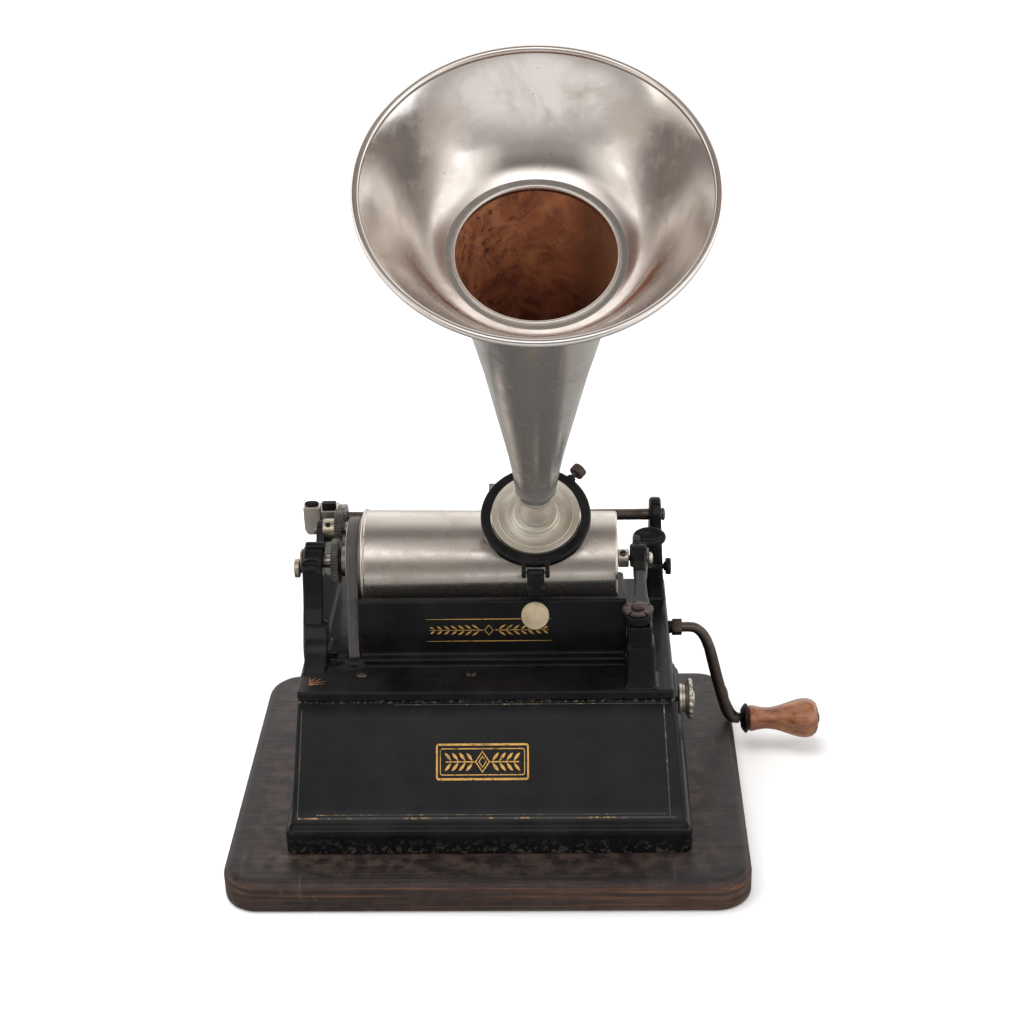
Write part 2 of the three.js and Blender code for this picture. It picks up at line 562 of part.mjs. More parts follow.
addPart('centre_pin', cut(
  add(cylX(1.65, 64.6, 74, MANDREL_AXIS, 12),
    cylX(0.5, 62.7, 64.7, MANDREL_AXIS, 12, 1.65),
    cylX(2.8, 72.5, 74.6, MANDREL_AXIS, 14)),
  box(73.9, 76, MANDREL_AXIS.y - 4, MANDREL_AXIS.y + 4,
    MANDREL_AXIS.z - 0.3, MANDREL_AXIS.z + 0.3),
), NICKEL, { x: 68, ...MANDREL_AXIS });

// ----------------------------------------------------------------- crank ---
const CRANK_PATH = [                             // (x, z) along the arm's centre line
  [89.3, 67], [92.6, 67], [95.9, 66.1], [99.2, 62.6], [101.9, 56.4], [103.8, 48.9],
  [106.1, 39.2], [108.8, 28.8], [111.3, 21.2], [113.9, 17.2], [116.9, 16],
];
const crankCurve = new THREE.CatmullRomCurve3(
  CRANK_PATH.map(([x, z]) => new THREE.Vector3(x, CRANK_AXIS.y, z)));
addPart('crank_arm', solid(new THREE.ExtrudeGeometry(shapeOf(ellipse(2.6, 2.6, 8)),
  { extrudePath: crankCurve, steps: 15, bevelEnabled: false })), STEEL, { x: 89, ...CRANK_AXIS });

const handleOrigin = { y: CRANK_AXIS.y, z: CRANK_AXIS.z - CRANK_RADIUS };
const HANDLE_AXIS = { y: handleOrigin.y, z: handleOrigin.z + 0.1 };
addPart('handle_spindle', add(
  cylX(1.8, 117.8, 155, HANDLE_AXIS, 12),
  cylX(2.7, 154.9, 155.5, HANDLE_AXIS, 12, 1.9),
), STEEL, { x: 120, ...handleOrigin });
addPart('handle_ferrule', latheX([
  [2.3, 118.1], [4.4, 118.1], [6.9, 119.8], [7.1, 120.8], [5.8, 121.5], [2.3, 121.5],
], 20, HANDLE_AXIS), DARK, { x: 121, ...HANDLE_AXIS });
addPart('crank_handle', latheX([
  [2.2, 121.8], [6, 121.8], [6.2, 123.2], [5.5, 126.5], [5.15, 130.2], [5.8, 134.6],
  [7.4, 139.4], [9, 144.2], [9.45, 148.2], [8.9, 151.6], [7.2, 153.8], [4.6, 154.7],
  [2.2, 154.7],
], 24, HANDLE_AXIS), MAHOGANY, { x: 138, ...HANDLE_AXIS });

// ----------------------------------------------------------------- brake ---
const KNOB_PROFILE = [
  [0, 85], [6.6, 85], [6.8, 85.8], [6.6, 88.2], [8.2, 89], [9.1, 89.6], [9.1, 90.6],
  [8.6, 91.3], [4.4, 91.6], [3.6, 92.3], [0, 92.4],
];
addPart('brake_knob', cut(
  latheX(KNOB_PROFILE, 24, BRAKE_AXIS),
  cylX(1.4, 80, 88, BRAKE_AXIS, 12),
), NICKEL, { x: 88, ...BRAKE_AXIS });

// The brake arm reaches from the spindle towards the governor disc.
const brakeArm = moved(
  prismX([[2.4, -2], [19, -1.6], [20.5, 0], [19, 1.6], [2.4, 2]], 28, 31),
  shift(0, BRAKE_AXIS.y, BRAKE_AXIS.z).multiply(rotX(heading(BRAKE_AXIS, GOVERNOR_AXIS) - 0.5)),
);
addPart('brake_spindle', add(
  brakeArm,
  cylX(5, 28, 31, BRAKE_AXIS, 16),
  cylX(2, 27, 84, BRAKE_AXIS, 14),
  cylX(1.1, 83.9, 87.6, BRAKE_AXIS, 10),
), STEEL, { x: 60, ...BRAKE_AXIS });

// ----------------------------------------------------------------- motor ---
const SPRING_WHEEL = { teeth: 32, module: 1.25 };
const WINDING_WHEEL = { teeth: 33, module: 4 / 3 };
const CRANK_PINION_TEETH = 12;
const SECOND_WHEEL = { teeth: 30, module: 1 };
const PINION_TEETH = 10;                         // pulley arbor and governor spindle

function motorFrameShape() {
  const plate = [[-36, 25], [-36, 48], [-21.5, 71.6], [49, 71.6], [49, 25]];   // (y, z)
  const pillars = [[-32, 27.5], [46, 27.8], [10, 67.5], [-19, 66.5]];          // (y, z)
  const bores = [
    [SPRING_AXIS, 4.4], [ARBOR_AXIS, 2.6], [GOVERNOR_AXIS, 1.9], [BRAKE_AXIS, 2.4],
    [CRANK_AXIS, 3.4],
  ];
  const frame = add(
    prismX(plate, -44, -41.6),
    prismX(plate, 41.6, 44),
    ...pillars.map(([y, z]) => cylX(2.6, -42, 42, { y, z }, 10)),
    box(-50, -41.7, 8, 30, 69.2, 71.6),
    box(43.9, 52, 8, 30, 69.2, 71.6),
  );
  return add(
    cut(frame, ...bores.map(([axis, radius]) => cylX(radius, -50, 50, axis, 16))),
    cylX(1.2, 33.2, 42, CLICK_AXIS, 10),         // click stud
  );
}
addMesh('motor_frame', motorFrameShape(), IRON);

addPart('spring_barrel', cut(
  add(gear(SPRING_WHEEL.teeth, SPRING_WHEEL.module, -26, -21.5, SPRING_AXIS),
    cylX(18, -21.6, 20, SPRING_AXIS, 32)),
  cylX(16.6, -20, 25, SPRING_AXIS, 32),
  cylX(4.5, -40, 40, SPRING_AXIS, 16),
), BRASS, { x: -24, ...SPRING_AXIS });

// One edge of the flat spiral ribbon
function spiral(startRadius) {
  const steps = 34;
  const turns = 3.2;
  const growth = 7.6;
  return Array.from({ length: steps + 1 }, (_, i) => {
    const radius = startRadius + growth * i / steps;
    const angle = 2 * Math.PI * turns * i / steps;
    return [radius * Math.cos(angle), radius * Math.sin(angle)];
  });
}
addPart('mainspring',
  prismX([...spiral(8.2), ...spiral(7.5).reverse()], -18.5, 18.5, SPRING_AXIS),
  STEEL, SPRING_AXIS);
addPart('barrel_arbor', cylX(4, -46, 46, SPRING_AXIS, 16), STEEL, SPRING_AXIS);

const crankHeading = heading(SPRING_AXIS, CRANK_AXIS);
const crankPhase = meshPhase(WINDING_WHEEL.teeth, crankHeading, CRANK_PINION_TEETH, crankHeading);
addPart('crank_shaft', add(
  cylX(3, 22, 84.6, CRANK_AXIS, 18),
  cylX(4.5, 84.5, 89, CRANK_AXIS, 4),            // square end
  gear(CRANK_PINION_TEETH, WINDING_WHEEL.module, 26.5, 31.5, CRANK_AXIS, crankPhase),
), STEEL, { x: 84, ...CRANK_AXIS });

const ratchetOutline = Array.from({ length: 14 }, (_, i) => 2 * Math.PI * i / 14)
  .flatMap((angle) => [
    [10.5 * Math.cos(angle), 10.5 * Math.sin(angle)],
    [8.6 * Math.cos(angle + 0.06), 8.6 * Math.sin(angle + 0.06)],
  ]);
addPart('winding_wheel', cut(
  add(gear(WINDING_WHEEL.teeth, WINDING_WHEEL.module, 27, 31, SPRING_AXIS, crankHeading),
    cylX(7, 30.8, 34.2, SPRING_AXIS, 14),
    prismX(ratchetOutline, 34, 37, SPRING_AXIS)),
  cylX(4.3, 0, 40, SPRING_AXIS, 16),
), BRASS, { x: 29, ...SPRING_AXIS });

const arborPhase = meshPhase(SPRING_WHEEL.teeth, 0, PINION_TEETH,
  heading(SPRING_AXIS, ARBOR_AXIS));
addPart('pulley_arbor', add(
  gear(PINION_TEETH, SPRING_WHEEL.module, -27, -20.5, ARBOR_AXIS, arborPhase),
  cylX(2.2, -65, 46, ARBOR_AXIS, 14),
), STEEL, ARBOR_AXIS);
addPart('motor_pulley', latheX([
  [2.5, -63.2], [MOTOR_PULLEY.flange, -63.2], [MOTOR_PULLEY.flange, -62.6],
  [MOTOR_PULLEY.radius, -62.5], [MOTOR_PULLEY.radius, -57.3], [MOTOR_PULLEY.flange, -57.2],
  [MOTOR_PULLEY.flange, -56.6], [5, -56.6], [5, -52], [2.5, -52],
], 28, ARBOR_AXIS), IRON, { x: -60, ...ARBOR_AXIS });
addPart('second_wheel', cut(
  gear(SECOND_WHEEL.teeth, SECOND_WHEEL.module, -34.5, -31, ARBOR_AXIS),
  cylX(2.5, -50, 0, ARBOR_AXIS, 14),
), BRASS, { x: -33, ...ARBOR_AXIS });

const governorPhase = meshPhase(SECOND_WHEEL.teeth, 0, PINION_TEETH,
  heading(ARBOR_AXIS, GOVERNOR_AXIS));
addPart('governor_spindle', add(
  gear(PINION_TEETH, SECOND_WHEEL.module, -35.5, -30, GOVERNOR_AXIS, governorPhase),
  cylX(1.5, -45, 45, GOVERNOR_AXIS, 12),
  cylX(9, 28, 30, GOVERNOR_AXIS, 22),            // brake disc
), STEEL, GOVERNOR_AXIS);

// Three bowed leaves, each with a weight, between two collars
function governorWeightsShape() {
  const leafOutline = [                          // (x, z)
    [-20, 2.6], [-6, 8.2], [6, 8.2], [20, 2.6], [20, 3.4], [6, 9], [-6, 9], [-20, 3.4],
  ];
  const leaves = [0, 1, 2].map((i) => moved(
    add(prismY(leafOutline, -1.6, 1.6), box(-4.5, 4.5, -3, 3, 6.2, 11.4)),
    shift(0, GOVERNOR_AXIS.y, GOVERNOR_AXIS.z).multiply(rotX(2 * Math.PI * i / 3)),
  ));
  return cut(
    add(cylX(4, -22, -18, GOVERNOR_AXIS, 14), cylX(4, 18, 22, GOVERNOR_AXIS, 14), ...leaves),
    cylX(1.75, -30, 30, GOVERNOR_AXIS, 12),
  );
}
addPart('governor_weights', governorWeightsShape(), BRASS, GOVERNOR_AXIS);

const clickFinger = moved(prismX([[2, -2], [2, 2], [-8.2, 0.6], [-8.6, -1.2]], 34.2, 36.8),
  shift(0, CLICK_AXIS.y, CLICK_AXIS.z).multiply(rotX(0.25)));
addPart('winding_click', cut(
  add(clickFinger, cylX(3, 34.2, 36.8, CLICK_AXIS, 14)),
  cylX(1.5, 20, 50, CLICK_AXIS, 10),
), STEEL, { x: 35, ...CLICK_AXIS });

// -------------------------------------------------------------- carriage ---
// Carriage pieces are drawn about the reproducer's centre, before the tilt.
const carriage = new THREE.Group();
carriage.position.set(REPRODUCER.x, REPRODUCER.y, REPRODUCER.z);
carriage.rotation.x = CARRIAGE_TILT;
model.add(carriage);

function inCarriage({ y, z }) {
  const cos = Math.cos(CARRIAGE_TILT);
  const sin = Math.sin(CARRIAGE_TILT);
  const dy = y - REPRODUCER.y;
  const dz = z - REPRODUCER.z;
  return { y: dy * cos + dz * sin, z: -dy * sin + dz * cos };
}
const SLIDE_AXIS = inCarriage(FEED_AXIS);
const LEVER_AXIS = { y: -26.2, z: -1.6 };
const CLAMP_ANGLE = 50.5 * DEGREE;
const clampCylinder = (radius, from, to, sides) =>
  moved(cylX(radius, from, to, ORIGIN, sides), rotZ(CLAMP_ANGLE));

// (y, z): bent arm from the ring to the slide
const ARM_OUTLINE = [
  [21, RING.z1 - 0.3], [29, 0.5], [36, -6], [41.5, -18], [43, -32], [41.5, -46],
  [SLIDE_AXIS.y + 5, SLIDE_AXIS.z + 2.5], [SLIDE_AXIS.y + 1, SLIDE_AXIS.z - 4],
  [SLIDE_AXIS.y - 2, SLIDE_AXIS.z + 5], [34.5, -45], [36.5, -33], [35.5, -22], [31, -11],
  [25.5, -5], [21, -2.1],
];
// (y, z): cheek of the lift lever's fork
const FORK_OUTLINE = [
  [-22.5, 1.7], [-27.4, 1.7], [-28.8, -1.5], [-27.4, -4.6], [-24.6, -4.6], [-22.5, -2.1],
];

function carriageShape() {
  const { inner, outer, z0, z1, chamfer } = RING;
  return cut(
    add(
      latheZ([
        [inner, z0], [outer - chamfer, z0], [outer, z0 + chamfer],
        [outer, z1 - chamfer], [outer - chamfer, z1], [inner, z1],
      ], 40),
      prismX(ARM_OUTLINE, -6.5, 6.5),
      cylX(6.1, -14.5, 14.5, SLIDE_AXIS, 22),
      clampCylinder(3.2, 22.5, 25.6, 14).intersect(cylZ(40, z0, z1, ORIGIN, 8)),
      prismX(FORK_OUTLINE, -6.15, -4.15),
      prismX(FORK_OUTLINE, 4.15, 6.15),
    ),
    cylX(4.65, -30, 30, SLIDE_AXIS, 22),
    clampCylinder(1.4, 15, 40, 10),
    cylX(1.05, -10, 10, LEVER_AXIS, 12),
  );
}
addMesh('carriage', carriageShape(), JAPAN, carriage);

// The bush slides on the feed screw and stays level with it.
const bush = new THREE.Group();
bush.position.set(REPRODUCER.x, FEED_AXIS.y, FEED_AXIS.z);
model.add(bush);
addMesh('slide_bush', cut(
  cylX(4.3, -17.5, 17, ORIGIN, 20),
  cylX(3, -40, 40, ORIGIN, 20),
), BRASS, bush);

addMesh('half_nut', cut(
  box(-23.5, -18, SLIDE_AXIS.y - 2.4, SLIDE_AXIS.y + 4, SLIDE_AXIS.z + 1.6, SLIDE_AXIS.z + 8.2),
  cylX(3.1, -40, 0, SLIDE_AXIS, 20),
), BRASS, carriage);
addMesh('nut_spring', add(
  box(-23, -6.9, 36.5, 39.5, -41, -40.4),
  box(-23, -19, 36.5, 39.5, -48.6, -40.5),
  box(-23, -19, SLIDE_AXIS.y + 4.3, 39.5, -49.2, -48.2),
), STEEL, carriage);
addMesh('clamp_screw', add(
  clampCylinder(1.05, 19.75, 28, 10),
  clampCylinder(3.35, 27.2, 31.4, 18),
), DARK, carriage);

// Lift lever: bar in the fork, dropping to a round thumb button
const BUTTON_PLACE = shift(-0.6, -39.4, -17.2)
  .multiply(rotX(Math.PI / 2 - 0.5 - CARRIAGE_TILT));
const LEVER_OUTLINE = [                          // (y, z)
  [-24.9, -0.4], [-27.4, -0.3], [-29.6, -3], [-36.6, -12.6], [-38.6, -14.6],
  [-37.2, -16.6], [-35, -14.8], [-27, -4.4], [-24.9, -3],
];
addMesh('lift_lever', cut(
  add(prismX(LEVER_OUTLINE, -3.75, 3.75), cylX(0.7, -6.1, 6.1, LEVER_AXIS, 12)),
  moved(cylZ(9, -2, 6, ORIGIN, 16), BUTTON_PLACE),
), JAPAN, carriage);
addMesh('lift_button', moved(latheZ([
  [0, -1.6], [5.6, -1.6], [6.05, -1], [6.05, 1], [5.5, 1.7], [0, 2],
], 24), BUTTON_PLACE), NICKEL, carriage);

// ------------------------------------------------------------ reproducer ---
addMesh('reproducer_body', latheZ([
  [3.6, 11], [5.3, 11], [5.3, 4.4], [9.4, 4], [9.4, 2.6], [12.6, 2.2], [15.4, 3.2],
  [18.6, 3.6], [19.15, 3.1], [19.15, -6.4], [17.2, -6.4], [17.2, -0.6], [3.6, 0.4],
], 36), NICKEL, carriage);
addMesh('diaphragm', cylZ(16.8, -2.2, -1.4, ORIGIN, 28), MICA, carriage);
addMesh('diaphragm_gasket', latheZ([
  [14.2, -3.6], [16.9, -3.6], [16.9, -2.5], [14.2, -2.5],
], 24), RUBBER, carriage);

const WEIGHT_OUTLINE = [                         // (x, y)
  [-6, 15], [-12.5, 9], [-13, -6], [-8, -14], [8, -14], [13, -6], [12.5, 9], [6, 15],
];
addMesh('reproducer_weight', cut(
  add(prismZ(WEIGHT_OUTLINE, -10.6, -6.9), cylX(1.7, -5.5, 5.5, { y: 15.4, z: -8.6 }, 12)),
  box(-2.4, 2.4, -8, 8, -20, 0),
), BRASS, carriage);
addMesh('stylus_lever', add(
  box(-0.9, 0.9, -6.5, 6.5, -9.4, -8.2),
  cylZ(0.45, -12.6, -9.2, ORIGIN, 8),
  box(-0.4, 0.4, 5.2, 6.2, -8.4, -3.9),
), STEEL, carriage);

// ------------------------------------------------------------------ horn ---
// Profiles of [radius, height]: out along one face and back along the other
const CONE_PROFILE = [
  [5.7, 4.9], [7.2, 4.9], [7, 6], [6.9, 23.8], [9, 24.6], [9.3, 25.6], [8.8, 26.8],
  [11.3, 56], [20.5, 125], [27.9, 172], [30.7, 188.6], [30, 189.4], [29.6, 188.6],
  [26.9, 172], [19.6, 125], [10.4, 56], [7.9, 26.6], [5.7, 23],
];
const BELL_PROFILE = [
  [28.45, 190.2], [31.6, 189.9], [35.5, 191.8], [41, 197], [47, 205], [53.2, 215],
  [58.9, 224.2], [60.6, 226.3], [61.5, 228.2], [60.8, 229.9], [59.5, 229.6], [57.6, 225.6],
  [52.2, 216], [46, 206], [40, 198], [34.8, 193.2], [31, 191.8], [28.45, 191.8],
];
const horn = new THREE.Group();
horn.rotation.y = HORN_YAW;
carriage.add(horn);
addMesh('horn_cone', latheZ(CONE_PROFILE, 32), NICKEL, horn);
addMesh('horn_bell', latheZ(BELL_PROFILE, 40), NICKEL, horn);

export default model;
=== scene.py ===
# Wind-up cylinder phonograph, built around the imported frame.  It stands on z = 0
# with its front toward -Y and the crank at +X.  Sizes here are millimetres, turned
# into metres as each mesh is made.  Shader lengths, lights and camera are in metres.
import bpy, bmesh, math, json
import numpy as np
from math import cos, sin, pi as PI, radians
from mathutils import Matrix, Vector, noise

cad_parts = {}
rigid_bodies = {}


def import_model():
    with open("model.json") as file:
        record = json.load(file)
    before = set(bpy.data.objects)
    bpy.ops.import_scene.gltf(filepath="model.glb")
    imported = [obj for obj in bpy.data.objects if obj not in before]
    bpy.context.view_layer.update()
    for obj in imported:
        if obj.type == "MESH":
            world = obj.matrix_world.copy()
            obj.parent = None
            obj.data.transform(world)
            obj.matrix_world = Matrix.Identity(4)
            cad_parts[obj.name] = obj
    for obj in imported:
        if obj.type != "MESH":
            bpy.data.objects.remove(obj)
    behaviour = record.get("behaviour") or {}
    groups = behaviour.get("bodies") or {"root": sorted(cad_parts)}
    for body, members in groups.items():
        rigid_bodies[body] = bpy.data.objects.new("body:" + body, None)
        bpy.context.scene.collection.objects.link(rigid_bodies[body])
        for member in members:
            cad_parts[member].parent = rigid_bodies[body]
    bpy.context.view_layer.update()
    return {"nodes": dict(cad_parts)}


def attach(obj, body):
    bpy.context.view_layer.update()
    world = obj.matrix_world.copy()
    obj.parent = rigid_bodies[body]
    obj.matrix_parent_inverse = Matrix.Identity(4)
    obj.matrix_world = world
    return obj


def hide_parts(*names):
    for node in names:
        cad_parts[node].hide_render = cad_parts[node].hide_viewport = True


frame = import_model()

MM = 0.001
nodes = frame["nodes"]

# ---------------------------------------------------------------- places ----
# (y, z) of the shafts that lie along X
MANDREL = (27.0, 110.9)
FEED = (61.0, 115.9)
PULLEY = (-2.91, 47.0)
CRANK = (40.0, 67.0)
IDLER = (45.462, 117.346)
BRAKE = (-10.0, 59.0)
HANDLE_Z = 16.0

GATE_X, GATE_Y = 66.5, -22      # upright pivot of the swing gate
PLATE_TOP = 76.0                # ledge in front of the apron
APRON_Y = -4.5                  # front face of the apron

# slanted front of the case: where it starts, how far it rises and leans back
FRONT_Y, FRONT_Z, FRONT_RISE, FRONT_LEAN = -61.5, 28, 43.7, 31.0

LOCAL = Matrix.Identity(4)
ALONG_X = Matrix(((0, 0, 1, 0), (1, 0, 0, 0), (0, 1, 0, 0), (0, 0, 0, 1)))  # local z -> world X


def at(x, y, z):
    return Matrix.Translation((x, y, z))


def rot_x(angle):
    return Matrix.Rotation(angle, 4, "X")


def squeeze(y_scale):
    return Matrix.Diagonal((1.0, y_scale, 1, 1))


def along_x(y, z, x=0.0):
    return at(x, y, z) @ ALONG_X


MANDREL_AXIS = along_x(*MANDREL)
FEED_AXIS = along_x(*FEED)
IDLER_AXIS = along_x(*IDLER)
HANDLE_AXIS = along_x(CRANK[0], HANDLE_Z)
GATE_AXIS = at(GATE_X, GATE_Y, 0)

# the carriage leans back; the horn stands on it, turned a little sideways
CARRIAGE_AT = Vector((22.8, 2.3, 144.9))
TILT = radians(34.9)
YAW = radians(1.66)
CARRIAGE = Matrix.Translation(CARRIAGE_AT) @ rot_x(TILT)
HORN = CARRIAGE @ Matrix.Rotation(YAW, 4, "Y")
# feed axis in the carriage's own y and z
dy, dz = FEED[0] - CARRIAGE_AT.y, FEED[1] - CARRIAGE_AT.z
EYE_Y = dy * cos(TILT) + dz * sin(TILT)
EYE_Z = -dy * sin(TILT) + dz * cos(TILT)


# ------------------------------------------------------------- materials ----
class Graph:
    """A cleared node tree, with short calls for the nodes used here."""

    def __init__(self, tree):
        self.tree = tree
        tree.nodes.clear()

    def add(self, kind, inputs={}, **settings):
        node = self.tree.nodes.new("ShaderNode" + kind)
        for key, value in settings.items():
            setattr(node, key, value)
        for key, value in inputs.items():
            self.feed(node.inputs[key], value)
        return node

    def feed(self, socket, value):
        if isinstance(value, bpy.types.NodeSocket):
            self.tree.links.new(value, socket)
        elif isinstance(value, tuple) and socket.type == "RGBA":
            socket.default_value = (*value, 1)
        else:
            socket.default_value = value

    def ramp(self, source, *stops):
        """stops: (position, grey or colour)"""
        node = self.add("ValToRGB", {0: source})
        elements = node.color_ramp.elements
        while len(elements) < len(stops):
            elements.new(0.5)
        for element, (position, value) in zip(elements, stops):
            element.position = position
            element.color = (*value, 1) if isinstance(value, tuple) else (value, value, value, 1)
        return node.outputs[0]

    def rise(self, source, start, end):
        """0 below start, 1 above end"""
        return self.ramp(source, (start, 0.0), (end, 1.0))

    def fall(self, source, start, end):
        """1 below start, 0 above end"""
        return self.ramp(source, (start, 1.0), (end, 0.0))

    def mix(self, amount, base, over):
        return self.add("Mix", {0: amount, 6: base, 7: over}, data_type="RGBA").outputs[2]

    def layer(self, base, over, mask, strength):
        return self.mix(self.times(mask, strength), base, over)

    def math(self, operation, a, b=0.0):
        return self.add("Math", {0: a, 1: b}, operation=operation).outputs[0]

    def times(self, a, b):
        return self.math("MULTIPLY", a, b)

    def plus(self, a, b):
        return self.math("ADD", a, b)

    def minus(self, a, b):
        return self.math("SUBTRACT", a, b)

    def dot(self, vector, direction):
        node = self.add("VectorMath", {0: vector, 1: direction}, operation="DOT_PRODUCT")
        return node.outputs["Value"]

    def distance_from_origin(self):
        position = self.add("NewGeometry").outputs["Position"]
        return self.add("VectorMath", {0: position}, operation="LENGTH").outputs["Value"]


class Mat(Graph):
    """A Principled material whose textures follow object coordinates."""
    INPUTS = {"color": "Base Color", "metal": "Metallic", "rough": "Roughness",
              "normal": "Normal", "coat": "Coat Weight", "coat_rough": "Coat Roughness",
              "spec": "Specular IOR Level", "aniso": "Anisotropic", "sheen": "Sheen Weight"}

    def __init__(self, name):
        self.material = bpy.data.materials.new(name)
        self.material.use_nodes = True
        super().__init__(self.material.node_tree)
        self.shader = self.add("BsdfPrincipled")
        self.out = self.add("OutputMaterial", {0: self.shader.outputs[0]})
        self.coords = self.add("TexCoord").outputs["Object"]

    def noise(self, scale, detail, rough, distortion=0.0, vector=None):
        return self.add("TexNoise", {
            "Vector": vector or self.coords, "Scale": scale, "Detail": detail,
            "Roughness": rough, "Distortion": distortion}).outputs[0]

    def grain(self, stretch, detail, rough, distortion=0.0, turn=0.0):
        """noise with its own scale along each axis"""
        mapping = self.add("Mapping", {
            "Vector": self.coords, "Scale": stretch, "Rotation": (0, 0, turn)})
        return self.noise(1.0, detail, rough, distortion, mapping.outputs[0])

    def voronoi(self, scale):
        return self.add("TexVoronoi", {"Vector": self.coords, "Scale": scale}).outputs[0]

    def bump(self, height, strength, distance):
        return self.add("Bump", {
            "Height": height, "Strength": strength, "Distance": distance}).outputs[0]

    def edges(self, start, end):
        return self.rise(self.add("NewGeometry").outputs["Pointiness"], start, end)

    def normal_z(self):
        normal = self.add("NewGeometry").outputs["Normal"]
        return self.add("SeparateXYZ", {0: normal}).outputs[2]

    def finish(self, **values):
        for key, value in values.items():
            self.feed(self.shader.inputs[self.INPUTS[key]], value)
        return self.material


def scaled_colour(color, *factors):
    return tuple(c * factor for c, factor in zip(color, factors))


def japan(name, gloss, chips):
    """black enamel: dirt on upward faces, light specks, worn edges where chipped"""
    mat = Mat(name)
    cloud = mat.noise(60, detail=5, rough=0.6)
    ripple = mat.noise(700, detail=3, rough=0.6)
    specks = mat.rise(mat.noise(2600, detail=2, rough=0.8), 0.72, 0.78)
    color = mat.mix(mat.rise(cloud, 0.35, 0.7), (0.0035, 0.0035, 0.0042), (0.0085, 0.0080, 0.0082))
    patches = mat.rise(mat.noise(28, detail=6, rough=0.7), 0.42, 0.75)
    dirt = mat.times(mat.rise(mat.normal_z(), 0.60, 1.0), patches)
    color = mat.layer(color, (0.040, 0.036, 0.034), dirt, strength=0.22)
    color = mat.layer(color, (0.35, 0.32, 0.28), specks, strength=0.12)
    if chips:
        broken = mat.rise(mat.noise(420, detail=4, rough=0.65), 0.52, 0.60)
        worn = mat.times(mat.edges(0.53, 0.60), broken)
        color = mat.layer(color, (0.22, 0.19, 0.165), worn, strength=0.60)
    rough = mat.plus(mat.times(cloud, 0.16), gloss - 0.06)
    rough = mat.plus(rough, mat.times(dirt, 0.18))
    waves = mat.times(mat.noise(150, detail=3, rough=0.5), 1.1)
    height = mat.plus(mat.times(ripple, 0.35), waves)
    return mat.finish(color=color, rough=rough, coat=0.09, coat_rough=0.05, spec=0.12,
                      normal=mat.bump(height, strength=0.20, distance=0.0005))


def nickel(name, color, along="z", rough=0.30, tarnish=0.45, lines=0.05, spots=0.5,
           aniso=0.3, metal=0.9, pits=210):
    """brushed plating, tarnished in clouds and pitted in places"""
    mat = Mat(name)
    brush = mat.grain({"x": (900, 25, 25), "z": (25, 25, 900)}[along], detail=3, rough=0.7)
    cloud = mat.noise(38, detail=6, rough=0.62, distortion=0.6)
    smear = mat.noise(160, detail=5, rough=0.65)
    dull = mat.rise(cloud, 0.44, 0.70)
    shade_color = scaled_colour(color, 0.62, 0.56, 0.46)
    plating = mat.layer(color, shade_color, dull, strength=tarnish)
    cluster = mat.rise(mat.noise(55, detail=2, rough=0.5), 0.50, 0.58)
    pit = mat.times(mat.fall(mat.voronoi(pits), 0.03, 0.09), cluster)
    plating = mat.layer(plating, (0.07, 0.045, 0.03), pit, strength=spots)
    roughness = mat.plus(mat.times(brush, lines), rough - lines * 0.5)
    roughness = mat.plus(roughness, mat.times(dull, 0.15))
    roughness = mat.plus(roughness, mat.times(mat.rise(smear, 0.5, 0.75), 0.10))
    height = mat.plus(mat.times(brush, 0.25), mat.times(cloud, 0.8))
    height = mat.minus(height, mat.times(pit, 1.0))
    return mat.finish(color=plating, metal=metal, rough=roughness, aniso=aniso,
                      normal=mat.bump(height, strength=0.05, distance=0.0004))


def steel(name, color, rough, rust, rust_color=(0.10, 0.055, 0.035)):
    """steel with browned patches and brighter edges"""
    mat = Mat(name)
    cloud = mat.noise(95, detail=6, rough=0.65)
    fine = mat.noise(800, detail=4, rough=0.6)
    brown = mat.rise(cloud, 0.38, 0.66)
    surface = mat.layer(color, rust_color, brown, strength=rust)
    bright = scaled_colour(color, 1.9, 1.85, 1.75)
    surface = mat.layer(surface, bright, mat.edges(0.53, 0.62), strength=0.5)
    height = mat.plus(cloud, mat.times(fine, 0.5))
    return mat.finish(color=surface, metal=0.95, rough=mat.plus(mat.times(brown, 0.22), rough),
                      normal=mat.bump(height, strength=0.18, distance=0.0003))


def brass():
    mat = Mat("brass_aged")
    clean = (0.46, 0.33, 0.14)
    cloud = mat.noise(120, detail=6, rough=0.65)
    aged = mat.rise(cloud, 0.35, 0.7)
    color = mat.mix(aged, clean, scaled_colour(clean, 0.45, 0.38, 0.35))
    return mat.finish(color=color, metal=1.0, rough=mat.plus(mat.times(aged, 0.25), 0.3),
                      normal=mat.bump(cloud, strength=0.14, distance=0.0003))


